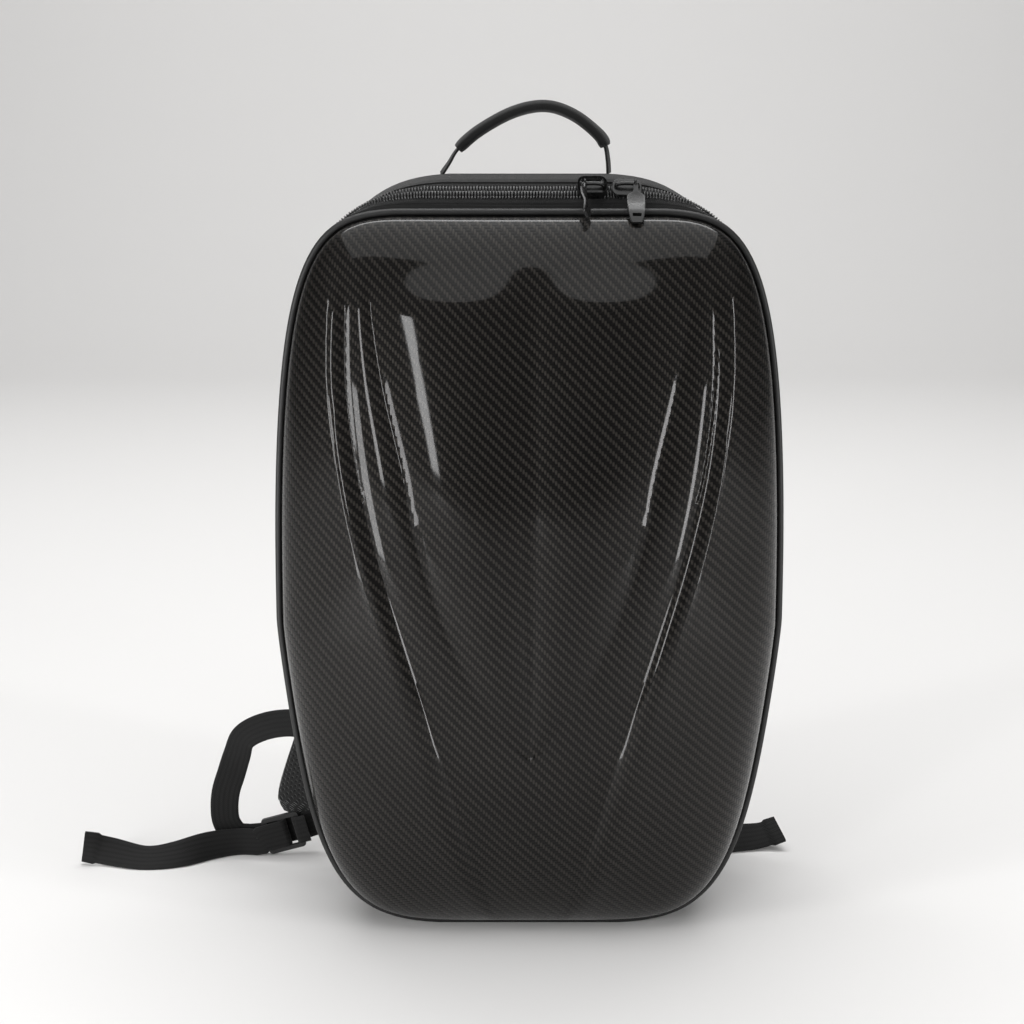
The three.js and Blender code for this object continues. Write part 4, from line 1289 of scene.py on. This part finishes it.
@dataclass(frozen=True)
class Pull:
    """A cast pull that hangs from its slider's bridge. Millimetres and degrees."""

    side: Side
    axis: tuple[float, float, float]
    along: tuple[float, float, float]
    lean: float
    turned: float
    length: float = 35.0
    width: float = 11.0
    neck: float = 3.0
    thickness: float = 1.8
    eye: float = 1.5
    eye_wall: float = 1.3
    slot_width: float = 5.5
    slot_length: float = 2.6
    slot_softening: float = 0.6
    cutter_depth: float = 12.0

    def build(self, wardrobe: Wardrobe) -> None:
        """Builds the pull and sets it on its own body.

        Args:
            wardrobe: The finishes.
        """
        blade = self._blade()
        deselect()
        bpy.ops.mesh.primitive_torus_add(
            major_segments=28, minor_segments=12, major_radius=(self.eye + self.eye_wall / 2) * MM,
            minor_radius=self.eye_wall * 0.55 * MM, rotation=(0, math.pi / 2, 0))
        ring = bpy.context.object
        bpy.ops.object.transform_apply(location=True, rotation=True, scale=True)
        blade.select_set(True)
        ring.select_set(True)
        bpy.context.view_layer.objects.active = blade
        bpy.ops.object.join()
        along = Vector(self.along).normalized()
        depth = Vector((0, 1, 0))
        turn = Matrix((along, depth, along.cross(depth))).transposed().to_4x4()
        swing = Matrix.Rotation(math.radians(-self.lean), 4, "X")
        blade.data.transform(Matrix.Translation(Vector(self.axis) * MM) @ turn @ swing)
        blade.data.update()
        name = f"pull_{self.side.value}"
        wardrobe.dress(blade, Slot.METAL, name, body=name, angle=35.0)

    def _blade(self) -> bpy.types.Object:
        """The pull's flat blade with its slot, hanging down from the origin.

        Returns:
            The blade.
        """
        rows = smooth_rows([{"down": d, "width": w, "bend": b} for d, w, b in (
            (0.0, 0.0, 0.0), (0.16, 0.1, 0.25), (0.27, 1.0, 0.5), (0.5, 1.0, 0.2), (0.72, 0.88, -0.5),
            (0.88, 0.74, -0.3), (0.97, 0.56, 0.1), (1.0, 0.3, 0.2))], 6)
        start = self.eye + self.eye_wall * 0.4
        stations = [Station(np.array([0.0, row["bend"] * self.thickness,
                                      -(start + (self.length - start) * row["down"])]),
                            np.array([1.0, 0.0, 0.0]),
                            self.neck + (self.width - self.neck) * min(max(row["width"], 0.0), 1.0),
                            self.thickness) for row in rows]
        profile = pillow_profile(columns=10, power=5.0, lip=0.55)
        blade = add_grid(f"pull_blade_{self.side.value}", strap_points(stations, profile), False, True, True)
        deselect()
        bpy.ops.mesh.primitive_cube_add(size=1.0, location=(0, 0, (2 * self.slot_length - self.length) * MM))
        cutter = bpy.context.object
        cutter.dimensions = (self.slot_width * MM, self.cutter_depth * MM, self.slot_length * MM)
        bpy.ops.object.transform_apply(location=True, rotation=True, scale=True)
        apply_modifier(cutter, "BEVEL", width=self.slot_softening * MM, segments=3)
        apply_modifier(blade, "BOOLEAN", operation="DIFFERENCE", object=cutter, solver="EXACT")
        bpy.data.objects.remove(cutter)
        blade.data.transform(Matrix.Rotation(math.radians(self.turned), 4, "Z"))
        return blade


@dataclass(frozen=True)
class Slider:
    """A zipper slider: a rounded saddle over the coil, with an arched bridge. Millimetres."""

    side: Side
    centre: tuple[float, float, float]
    cross: tuple[float, float, float]
    along: tuple[float, float, float]
    coil_reach: float
    pull: Pull
    length: float = 18.0
    gap: float = 0.3
    roof: float = 1.6
    rail: float = 1.8
    drop: float = 0.9
    bridge_length: float = 16.0
    bridge_rise: float = 3.2
    bridge_width: float = 2.4
    bridge_thickness: float = 1.9
    bridge_sink: float = 0.5
    bridge_flare: float = 1.6
    corner: float = 4.2
    rail_inset: float = 2.5
    rail_sink: float = 0.4
    rail_corner: float = 0.7
    softening: float = 0.4

    def build(self, wardrobe: Wardrobe) -> None:
        """Builds the slider and its pull.

        Args:
            wardrobe: The finishes.
        """
        half = self.coil_reach + self.gap + self.rail
        top = self.gap + self.roof
        parts = [self._block(self.length, 2 * half, self.gap, top, self.corner)]
        for end in (-1, 1):
            rail = self._block(self.length - 2 * self.rail_inset, self.rail, -self.drop,
                               self.gap + self.rail_sink, self.rail_corner)
            rail.data.transform(Matrix.Translation((0, end * (half - self.rail / 2) * MM, 0)))
            parts.append(rail)
        parts.append(self._bridge(top))
        deselect()
        for part in parts:
            part.select_set(True)
        bpy.context.view_layer.objects.active = parts[0]
        bpy.ops.object.join()
        saddle = bpy.context.object
        saddle.name = f"slider_saddle_{self.side.value}"
        x, y = Vector(self.along).normalized(), Vector(self.cross).normalized()
        turn = Matrix((x, y, x.cross(y))).transposed().to_4x4()
        saddle.data.transform(Matrix.Translation(Vector(self.centre) * MM) @ turn)
        saddle.data.update()
        wardrobe.dress(saddle, Slot.METAL, f"slider_{self.side.value}", angle=35.0)
        self.pull.build(wardrobe)

    def _block(self, length: float, width: float, low: float, high: float, corner: float) -> bpy.types.Object:
        """A block with round corners in plan and softened edges.

        Args:
            length: Its length along X.
            width: Its width along Y.
            low: Where it starts in Z.
            high: Where it ends in Z.
            corner: The radius of its upright corners.

        Returns:
            The block, at the origin.
        """
        deselect()
        bpy.ops.mesh.primitive_cube_add(size=1.0, location=(0, 0, (low + high) / 2 * MM))
        block = bpy.context.object
        block.dimensions = (length * MM, width * MM, (high - low) * MM)
        bpy.ops.object.transform_apply(location=True, rotation=True, scale=True)
        for edge in block.data.edges:
            ends = [block.data.vertices[v].co for v in edge.vertices]
            edge.select = abs(ends[0].z - ends[1].z) > 1e-6
        for face in block.data.polygons:
            face.select = False
        bpy.ops.object.mode_set(mode="EDIT")
        bpy.ops.mesh.select_mode(type="EDGE")
        bpy.ops.mesh.bevel(offset=corner * MM, offset_type="OFFSET", segments=8)
        bpy.ops.object.mode_set(mode="OBJECT")
        apply_modifier(block, "BEVEL", width=self.softening * MM, segments=3, limit_method="ANGLE",
                       angle_limit=math.radians(50))
        return block

    def _bridge(self, top: float) -> bpy.types.Object:
        """The arched bar that carries the pull.

        Args:
            top: The saddle's top.

        Returns:
            The bridge.
        """
        stations = []
        for t in np.linspace(0, math.pi, 33):
            across = -math.copysign(abs(math.cos(t)) ** 0.75, math.cos(t))
            rise = math.sin(t) ** 0.5
            centre = np.array([across * (self.bridge_length - self.bridge_thickness) / 2, 0.0,
                               top - self.bridge_sink + rise * (self.bridge_rise + self.bridge_sink)])
            width = self.bridge_width + self.bridge_flare * (1 - rise)
            stations.append(Station(centre, np.array([0.0, 1.0, 0.0]), width, self.bridge_thickness))
        profile = pillow_profile(columns=8, power=3.0, lip=0.4)
        return add_grid(f"bridge_{self.side.value}", strap_points(stations, profile), False, True, True)


@dataclass
class Zipper:
    """The zipper's coil, made of interlocked turns, and its sliders and pulls. Millimetres."""

    outline: BodyOutline
    depth: float = 14.3
    inset: float = 0.5
    width: float = 6.4
    pitch: float = 1.9
    wire: float = 0.5
    arch: float = 0.7
    turn_share: float = 0.3
    row_share: float = 0.2
    samples: int = 4000
    middle_height: float = 240.0
    end_height: float = 70.0
    sliders: tuple[Slider, ...] = (
        Slider(Side.LEFT, (38.5, 14.3, 477.111), (0.0, 0.6914, 0.7224), (1.0, 0.0, 0.0), 4.63,
               Pull(Side.LEFT, (33.9, 10.471, 480.776), (1.0, 0.0, 0.0), 60.94, 68.0)),
        Slider(Side.RIGHT, (60.0, 14.3, 477.11), (0.014, 0.7046, 0.7095), (0.9998, 0.0, -0.0198), 4.54,
               Pull(Side.RIGHT, (65.173, 10.539, 480.743), (0.9998, 0.0, -0.0198), 51.02, 0.0)),
    )

    def build(self, wardrobe: Wardrobe) -> None:
        """Builds the zipper.

        Args:
            wardrobe: The finishes.
        """
        wardrobe.dress(self._coil(), Slot.COIL, "zipper_coil")
        for slider in self.sliders:
            slider.build(wardrobe)

    def _turn(self) -> bpy.types.Object:
        """One turn of wire: half a torus, arched across one row of the coil.

        Returns:
            The turn, at the origin.
        """
        deselect()
        bpy.ops.mesh.primitive_torus_add(
            major_segments=12, minor_segments=6, major_radius=self.width * self.turn_share * MM,
            minor_radius=self.wire * MM, rotation=(math.pi / 2, 0, math.pi / 2))
        turn = bpy.context.object
        bpy.ops.object.transform_apply(location=True, rotation=True, scale=True)
        bpy.ops.object.mode_set(mode="EDIT")
        bpy.ops.mesh.select_all(action="SELECT")
        bpy.ops.mesh.bisect(plane_co=(0, 0, 0), plane_no=(0, 0, 1), clear_inner=True)
        bpy.ops.object.mode_set(mode="OBJECT")
        return turn

    def _coil(self) -> bpy.types.Object:
        """Both rows of turns along the whole zipper.

        Returns:
            The coil.
        """
        start = self.outline.place_at_height(0.0, self.end_height)
        places = np.linspace(start, self.outline.count - start, self.samples)
        line = self.outline.skin(places, self.depth, self.inset)
        front = self.outline.skin(places, self.depth - self.width / 2, self.inset)
        rear = self.outline.skin(places, self.depth + self.width / 2, self.inset)
        lengths = np.r_[0, np.cumsum(np.linalg.norm(np.diff(line, axis=0), axis=1))]
        frames = []
        for at in np.arange(self.pitch, lengths[-1] - self.pitch, self.pitch / 2):
            i = int(np.searchsorted(lengths, at))
            along = unit(line[min(i + 1, len(line) - 1)] - line[i - 1])
            cross = rear[i] - front[i]
            cross -= along * float(along @ cross)
            stretch = np.linalg.norm(cross) / self.width
            out = np.cross(along, cross)
            if out @ (line[i] - np.array([0.0, line[i][1], self.middle_height])) < 0:
                out = -out
            row = 1 if len(frames) % 2 else -1
            centre = line[i] + cross * row * self.row_share
            shape = Matrix.Diagonal((1.0, stretch, self.arch, 1.0))
            frames.append(frame_at(centre, along, out) @ shape)
        return stamp("coil_turns", self._turn(), frames)


@dataclass
class TopHandle:
    """The carrying handle: webbing with a padded grip round it. Millimetres."""

    outline: BodyOutline
    span: float = 110.0
    offset: float = -2.6
    rise: float = 44.0
    depth: float = 94.0
    web_width: float = 20.0
    web_thickness: float = 1.5
    grip_width: float = 27.0
    grip_thickness: float = 8.0
    grip_start: int = 2
    grip_end: int = 8
    twist: float = 0.14
    seam_depth: float = 104.0
    seam_gap: float = 0.3
    end_share: float = 0.82
    neck_share: float = 0.95
    between: int = 6
    rows: Rows = field(default_factory=lambda: [
        {"across": a, "rise": r} for a, r in (
            (-1.0, 0.0), (-0.9, 0.18), (-0.79, 0.385), (-0.525, 0.66), (-0.125, 0.92), (0.247, 1.0),
            (0.575, 0.87), (0.86, 0.6), (0.956, 0.42), (0.99, 0.2), (1.0, 0.0))])

    def build(self, wardrobe: Wardrobe) -> None:
        """Builds the handle.

        Args:
            wardrobe: The finishes.
        """
        stations = self._stations()
        web = strap_points(stations, flat_profile(self.web_width, self.web_thickness))
        wardrobe.dress(add_grid("handle_web", web, False, True, True), Slot.WEBBING, "handle_strap")
        start, end = self.grip_start * self.between, self.grip_end * self.between
        grip = [Station(station.centre, station.across, self.grip_width, self.grip_thickness)
                for station in stations[start:end + 1]]
        for i in (0, 1, -1, -2):
            share = self.end_share if i in (0, -1) else self.neck_share
            grip[i].width *= share
            grip[i].thickness *= share
        points = strap_points(grip, pillow_profile(power=2.6, lip=0.25))
        sleeve = add_grid("handle_sleeve", points, False, True, True)
        wardrobe.dress(sleeve, Slot.FABRIC, "handle_grip")

    def _stations(self) -> list[Station]:
        """The handle's stations from left to right.

        Returns:
            The stations.
        """
        bases = []
        for end in (-1, 1):
            place = self.outline.place_across(self.seam_depth, 0.0, self.offset + end * self.span / 2)
            foot = self.outline.skin(np.array([place]), self.seam_depth, 0.0)[0]
            bases.append(foot[2] + self.seam_gap)
        stations = []
        for row in smooth_rows(self.rows, self.between):
            share = (row["across"] + 1) / 2
            base = bases[0] * (1 - share) + bases[1] * share
            centre = np.array([self.offset + row["across"] * self.span / 2, self.depth,
                               base + row["rise"] * self.rise])
            twist = self.twist * math.copysign(row["across"] ** 4, row["across"])
            stations.append(Station(centre, np.array([math.sin(twist), math.cos(twist), 0.0]), self.web_width,
                                    self.web_thickness))
        stations[0].centre[2] += self.web_thickness / 2
        stations[-1].centre[2] += self.web_thickness / 2
        return stations


@dataclass
class LadderLock:
    """A ladder lock that lies tilted at the end of a padded strap. Millimetres."""

    side: Side
    across: float
    depth: float
    length: float = 27.0
    rail: float = 3.0
    thickness: float = 3.0
    bar: float = 3.0
    tilt: float = 15.0
    web_width: float = 20.0
    web_thickness: float = 1.5
    gap: float = 0.3
    floor_gap: float = 0.4

    @property
    def half_width(self) -> float:
        """Half the lock's width."""
        return self.web_width / 2 + self.gap + self.rail

    @property
    def out(self) -> np.ndarray:
        """The direction along the lock, away from the pad."""
        angle = math.radians(self.tilt)
        return np.array([self.side.sign * math.cos(angle), 0.0, -math.sin(angle)])

    @property
    def up(self) -> np.ndarray:
        """The direction along the lock's bars."""
        angle = math.radians(self.tilt)
        return np.array([self.side.sign * math.sin(angle), 0.0, math.cos(angle)])

    @property
    def centre(self) -> np.ndarray:
        """The middle of the lock.

        Returns:
            The point.
        """
        angle = math.radians(self.tilt)
        height = self.floor_gap + self.length / 2 * math.sin(angle) + self.half_width * math.cos(angle)
        return np.array([self.side.sign * self.across, self.depth, height])

    @property
    def pass_offset(self) -> float:
        """How far the webbing's middle passes from the lock's middle plane."""
        return math.hypot(self.bar, self.thickness) / 2 + self.gap + self.web_thickness / 2

    @property
    def bar_pitch(self) -> float:
        """The distance between two neighbouring bars."""
        return (self.length - self.bar) / 2

    def at(self, along: float, behind: float) -> np.ndarray:
        """A point on the lock's middle line, along it and behind it."""
        return self.centre + self.out * along + np.array([0.0, behind, 0.0])

    def turn(self, bar_at: float, towards: int, steps: int = 12) -> list[np.ndarray]:
        """Half a turn round a bar, from behind to in front.

        Args:
            bar_at: Where the bar is along the lock.
            towards: On which side of the bar it turns: 1 or -1.
            steps: How many steps the turn has.

        Returns:
            Points of the webbing's middle.
        """
        points = []
        for i in range(steps + 1):
            angle = math.pi * (i / steps - 0.5)
            points.append(self.at(bar_at + towards * self.pass_offset * math.cos(angle),
                                  -self.pass_offset * math.sin(angle)))
        return points


@dataclass
class ShoulderStrap:
    """One shoulder strap: its pad, tab, ladder lock, and the webbing through it. Millimetres."""

    side: Side
    body: FabricBody
    end_across: float
    lock_across: float
    bulge: float
    behind: float
    twist_rows: int
    tail_length: float
    tail_rows: Rows
    top_height: float = 438.0
    top_across: float = 48.0
    end_height: float = 25.0
    bow: float = 34.0
    width: float = 60.0
    thickness: float = 11.0
    web_width: float = 20.0
    web_thickness: float = 1.5
    lock_behind_pad: float = 7.0
    tab_length: float = 24.0
    tab_return: float = 6.0
    anchor_height: float = 101.0
    fold_length: float = 10.0
    fold_overhang: float = 1.2
    flap_reach: float = 1.0
    flap_gap: float = 0.6
    gap: float = 0.3
    floor_gap: float = 0.4
    tab_bends: tuple[float, float] = (0.55, 0.25)
    between: int = 8
    rows: Rows = field(default_factory=lambda: [
        {"drop": d, "stand": s, "spread": p, "width": w, "thickness": t} for d, s, p, w, t in (
            (0.0, 0.0, 0.0, 0.86, 0.5), (-0.012, 0.36, 0.0, 0.9, 0.7), (0.03, 0.68, 0.01, 0.95, 0.9),
            (0.12, 0.9, 0.05, 1.0, 1.0), (0.28, 1.0, 0.14, 1.0, 1.0), (0.46, 0.94, 0.3, 0.96, 1.0),
            (0.64, 0.75, 0.52, 0.88, 1.0), (0.82, 0.56, 0.78, 0.8, 0.95), (0.95, 0.5, 0.95, 0.77, 0.8),
            (0.985, 0.5, 0.985, 0.68, 0.6), (1.0, 0.5, 1.0, 0.52, 0.45))])
    loop_rows: Rows = field(default_factory=lambda: [
        {"to_lock": t, "drop": d, "bulge": b, "back": k, "lean": a} for t, d, b, k, a in (
            (0.0, 0.0, 0.0, 0.0, 35.0), (0.1, -0.01, 0.42, 0.25, 35.0), (0.2, 0.034, 0.77, 0.4, 30.0),
            (0.3, 0.13, 1.02, 0.5, 25.0), (0.4, 0.275, 1.04, 0.5, 12.0), (0.5, 0.435, 1.05, 0.6, 0.0),
            (0.6, 0.596, 1.06, 0.75, 0.0), (0.7, 0.745, 1.0, 0.88, 0.0), (0.8, 0.88, 0.87, 0.96, 0.0),
            (0.9, 0.99, 0.6, 1.0, 0.0), (0.97, 1.01, 0.28, 1.0, 0.0))])

    def build(self, wardrobe: Wardrobe) -> None:
        """Builds the strap.

        Args:
            wardrobe: The finishes.
        """
        name = self.side.value
        start = self.rows[0]
        start_depth = self.gap + self.body.panel_depth(
            self.top_across - start["width"] * self.width / 2,
            self.top_height - start["thickness"] * self.thickness / 2)
        pad_end = start_depth + self.rows[-1]["stand"] * self.bow
        lock = LadderLock(self.side, self.lock_across, pad_end - self.thickness / 2 - self.lock_behind_pad)
        pad = add_grid(f"strap_pad_{name}", strap_points(self._pad(start_depth), pillow_profile()),
                       False, True, True)
        wardrobe.dress(pad, Slot.MESH, f"shoulder_strap_{name}", angle=60.0)
        profile = flat_profile(self.web_width, self.web_thickness)
        tab = add_grid(f"lock_tab_{name}", strap_points(self._tab(lock, pad_end), profile), False, True, True)
        wardrobe.dress(tab, Slot.WEBBING, f"strap_tab_{name}")
        flap = add_grid(f"lock_flap_{name}", strap_points(self._flap(lock), profile), False, True, True)
        wardrobe.dress(flap, Slot.WEBBING, f"strap_tab_{name}")
        web = add_grid(f"webbing_{name}", strap_points(self._web(lock), profile), False, True, True)
        wardrobe.dress(web, Slot.WEBBING, f"strap_webbing_{name}")
        wardrobe.paint_node(f"ladder_lock_{name}", Slot.PLASTIC)

    def _pad(self, start_depth: float) -> list[Station]:
        """The pad's stations from the back panel down to its free end.

        Args:
            start_depth: Depth of its upper end.

        Returns:
            The stations.
        """
        stations = []
        for row in smooth_rows(self.rows, self.between):
            across = self.top_across * (1 - row["spread"]) + self.end_across * row["spread"]
            drop = self.top_height * (1 - row["drop"]) + self.end_height * row["drop"]
            centre = np.array([self.side.sign * across, start_depth + row["stand"] * self.bow, drop])
            stations.append(Station(centre, np.array([self.side.sign, 0.0, 0.0]), row["width"] * self.width,
                                    row["thickness"] * self.thickness))
        stations[0].along = np.array([0.0, 1.0, 0.0])
        return stations

    def _tab(self, lock: LadderLock, pad_end: float) -> list[Station]:
        """The short webbing that holds the lock to the pad.

        Args:
            lock: The ladder lock.
            pad_end: Depth of the pad's lower end.

        Returns:
            The stations.
        """
        start = pad_end - self.thickness / 2 - self.gap - self.web_thickness / 2 - lock.depth
        bar = -lock.bar_pitch
        upper, lower = self.tab_bends
        centres = [lock.at(bar - self.tab_length, start), lock.at(bar - self.tab_length * upper, start),
                   lock.at(bar - self.tab_length * lower, (start + lock.pass_offset) / 2),
                   *lock.turn(bar, 1), lock.at(bar - self.tab_return, -lock.pass_offset)]
        return [Station(centre, lock.up, self.web_width, self.web_thickness) for centre in centres]

    def _flap(self, lock: LadderLock) -> list[Station]:
        """The tab's folded end, which lies behind the lock's open slot.

        Args:
            lock: The ladder lock.

        Returns:
            The stations.
        """
        back = lock.pass_offset + self.web_thickness + self.flap_gap
        places = (-lock.bar_pitch - self.flap_reach, -lock.bar_pitch / 2, -self.flap_reach)
        return [Station(lock.at(place, back), lock.up, self.web_width, self.web_thickness)
                for place in places]

    def _upright(self, along: np.ndarray, lean: float) -> np.ndarray:
        """The direction across a strap that stands on edge and leans back by an angle.

        Args:
            along: The direction along the strap.
            lean: The angle, in radians.

        Returns:
            The direction.
        """
        sign = self.side.sign
        upright = unit(np.cross(along, np.array([0.0, sign, 0.0])))
        normal = unit(np.cross(along, upright))
        return upright * math.cos(lean) - normal * sign * math.sin(lean)

    def _web(self, lock: LadderLock) -> list[Station]:
        """The webbing from the bag's side through the lock to its free end.

        Args:
            lock: The ladder lock.

        Returns:
            The stations.
        """
        shape = self.body.outline.shape_at(self.body.body_end)
        sign = self.side.sign
        below, half, above = (shape.half_width_at(self.anchor_height + step) for step in (-1, 0, 1))
        slope = (above - below) / 2
        anchor = np.array([sign * (half + self.gap), self.body.body_end, self.anchor_height])
        entry = lock.at(lock.length / 2 + self.web_thickness, lock.pass_offset)
        loop = []
        for row in smooth_rows(self.loop_rows, self.between):
            centre = np.array([
                anchor[0] + (entry[0] - anchor[0]) * row["to_lock"] + sign * row["bulge"] * self.bulge,
                anchor[1] + (entry[1] - anchor[1]) * row["back"] + row["bulge"] * self.behind,
                anchor[2] + (entry[2] - anchor[2]) * row["drop"]])
            lean = np.array([math.radians(row["lean"])])
            loop.append(Station(centre, lean, self.web_width, self.web_thickness))
        for i, station in enumerate(loop):
            ahead = loop[i + 1].centre if i + 1 < len(loop) else entry
            station.across = self._upright(ahead - loop[max(i - 1, 0)].centre, float(station.across[0]))
        settled = self.twist_rows * self.between
        for i in range(settled):
            share = i / settled
            loop[i].across = unit(np.array([0.0, 0.0, 1.0 - share]) + loop[settled].across * share)
        loop[0].along = np.array([sign, 0.0, -slope])
        down = -lock.up
        exit_point = lock.at(lock.length / 2 + self.web_thickness, -lock.pass_offset)
        through = [entry, lock.at(lock.bar_pitch, lock.pass_offset), *lock.turn(0.0, -1),
                   lock.at(lock.bar_pitch, -lock.pass_offset), exit_point]
        passing = [Station(centre, down, self.web_width, self.web_thickness) for centre in through]
        return loop + passing + self._tail(exit_point)

    def _tail(self, exit_point: np.ndarray) -> list[Station]:
        """The free tail on the floor, with its doubled end.

        Args:
            exit_point: Where the webbing leaves the lock.

        Returns:
            The stations.
        """
        rows = smooth_rows([{"along": 0.0, "back": 0.0, "lift": 0.0, "lean": 0.0}, *self.tail_rows],
                           self.between)[1:]

        def centre_of(row: dict[str, float]) -> np.ndarray:
            """The tail's middle at a row of its table.

            Args:
                row: The row.

            Returns:
                The point.
            """
            stand = self.web_width / 2 * math.cos(math.radians(row["lean"]))
            return np.array([
                exit_point[0] + self.side.sign * row["along"] * self.tail_length,
                exit_point[1] + row["back"] * self.tail_length,
                self.floor_gap + stand + row["lift"] * self.tail_length])

        laid = []
        for i, row in enumerate(rows):
            ahead = centre_of(rows[min(i + 1, len(rows) - 1)])
            behind = centre_of(rows[i - 1]) if i else exit_point
            across = -self._upright(ahead - behind, math.radians(row["lean"]))
            laid.append(Station(centre_of(row), across, self.web_width, self.web_thickness))
        end = laid[-1].centre
        for station in laid:
            if np.linalg.norm(station.centre - end) <= self.fold_length:
                station.thickness = 2 * self.web_thickness
                station.width = self.web_width + 2 * self.fold_overhang
        return laid


LONG_TAIL: Rows = [{"along": a, "back": b, "lift": u, "lean": d} for a, b, u, d in (
    (0.144, 0.01, 0.0, 0.0), (0.288, -0.04, 0.0, 15.0), (0.47, -0.13, 0.0, 42.0), (0.656, -0.15, 0.0, 55.0),
    (0.856, -0.12, 0.004, 30.0), (1.0, -0.12, 0.022, 2.0))]
SHORT_TAIL: Rows = [{"along": a, "back": b, "lift": u, "lean": d} for a, b, u, d in (
    (0.2, 0.02, 0.0, 0.0), (0.5, 0.1, 0.0, 20.0), (0.8, 0.2, 0.02, 45.0), (1.0, 0.25, 0.08, 55.0))]


# Studio


@dataclass(frozen=True)
class SoftLight:
    """One soft area light. Metres and watts."""

    name: str
    place: tuple[float, float, float]
    aim: tuple[float, float, float]
    size: tuple[float, float]
    power: float

    def build(self) -> None:
        """Adds the light."""
        data = bpy.data.lights.new(self.name, "AREA")
        data.shape = "RECTANGLE"
        data.size, data.size_y = self.size
        data.energy = self.power
        light = bpy.data.objects.new(self.name, data)
        light.location = self.place
        direction = Vector(self.aim) - Vector(self.place)
        light.rotation_euler = direction.to_track_quat("-Z", "Y").to_euler()
        bpy.context.scene.collection.objects.link(light)


@dataclass(frozen=True)
class Studio:
    """A pale floor that curves up into a backdrop, soft lights and the camera. Metres."""

    camera_place: tuple[float, float, float] = (-0.011, -1.2716, 0.5463)
    camera_aim: tuple[float, float, float] = (-0.011, 0.0, 0.276)
    lens: float = 72.39
    floor: float = 0.76
    world: float = 0.04
    sheet_size: float = 8.0
    sheet_middle: float = -1.5
    curve_steps: int = 8
    wall_height: float = 4.0

    def build(self) -> None:
        """Builds the studio."""
        self._camera()
        self._backdrop()
        self._world()
        lights = (
            SoftLight("top", (0.0, -0.4, 2.4), (0.0, -0.4, 0.0), (3.2, 3.2), 62.0),
            SoftLight("left_strip", (-2.0, -1.3, 0.8), (0.0, 0.0, 0.25), (0.2, 1.5), 17.0),
            SoftLight("left_window", (-1.3, -2.4, 0.75), (0.0, 0.0, 0.25), (0.2, 1.3), 17.0),
            SoftLight("right_strip", (2.0, -1.1, 0.75), (0.0, 0.0, 0.25), (0.16, 1.5), 15.0),
            SoftLight("left_low", (-0.75, -0.62, 0.2), (0.0, -0.05, 0.1), (0.12, 0.38), 2.4),
            SoftLight("right_low", (0.75, -0.62, 0.2), (0.0, -0.05, 0.1), (0.06, 0.38), 1.5),
            SoftLight("backdrop_wash", (0.0, 1.2, 2.6), (0.0, 2.4, 0.6), (3.0, 0.8), 45.0),
        )
        for light in lights:
            light.build()

    def _camera(self) -> None:
        """Places the camera where the photograph was taken from."""
        data = bpy.data.cameras.new("camera")
        data.lens = self.lens
        data.sensor_width = 36.0
        data.clip_start, data.clip_end = 0.05, 50.0
        camera = bpy.data.objects.new("camera", data)
        camera.location = self.camera_place
        direction = Vector(self.camera_aim) - Vector(self.camera_place)
        camera.rotation_euler = direction.to_track_quat("-Z", "Y").to_euler()
        bpy.context.scene.collection.objects.link(camera)
        bpy.context.scene.camera = camera

    def _backdrop(self) -> None:
        """The floor and the wall behind it, in one curved sheet."""
        deselect()
        bpy.ops.mesh.primitive_plane_add(size=self.sheet_size, location=(0, self.sheet_middle, 0))
        sheet = bpy.context.object
        sheet.name = "backdrop"
        bpy.ops.object.transform_apply(location=True, rotation=True, scale=True)
        bpy.ops.object.mode_set(mode="EDIT")
        bpy.ops.mesh.select_all(action="DESELECT")
        bpy.ops.object.mode_set(mode="OBJECT")
        for edge in sheet.data.edges:
            edge.select = all(sheet.data.vertices[v].co.y > 0 for v in edge.vertices)
        bpy.ops.object.mode_set(mode="EDIT")
        for i in range(self.curve_steps):
            low, high = (math.pi / 2 * step / self.curve_steps for step in (i, i + 1))
            step = (0, math.sin(high) - math.sin(low), math.cos(low) - math.cos(high))
            bpy.ops.mesh.extrude_edges_move(TRANSFORM_OT_translate={"value": step})
        bpy.ops.mesh.extrude_edges_move(TRANSFORM_OT_translate={"value": (0, 0, self.wall_height)})
        bpy.ops.object.mode_set(mode="OBJECT")
        board = NodeBoard("backdrop")
        sheet.data.materials.append(board.finish(Base_Color=grey(self.floor, 0.01), Roughness=0.9))
        smooth(sheet, 60.0)

    def _world(self) -> None:
        """An even, pale surrounding light."""
        world = bpy.data.worlds.new("surround")
        world.use_nodes = True
        world.node_tree.nodes["Background"].inputs[0].default_value = grey(self.world)
        bpy.context.scene.world = world
        bpy.context.scene.view_settings.view_transform = "Standard"


def main() -> None:
    """Builds the studio and the backpack, logging each finished piece's triangle count."""
    logging.basicConfig(level=logging.INFO, format="%(message)s")
    Studio().build()
    wardrobe = Wardrobe()
    outline = BodyOutline()
    body = FabricBody(outline)
    assemblies = [
        MouldedShell(outline),
        body,
        Zipper(outline),
        TopHandle(outline),
        ShoulderStrap(Side.LEFT, body, 160.0, 174.0, 40.0, 0.0, 0, 125.0, LONG_TAIL),
        ShoulderStrap(Side.RIGHT, body, 96.0, 86.0, 14.0, 14.0, 3, 82.0, SHORT_TAIL),
    ]
    for assembly in assemblies:
        assembly.build(wardrobe)


if __name__ == "__main__":
    main()
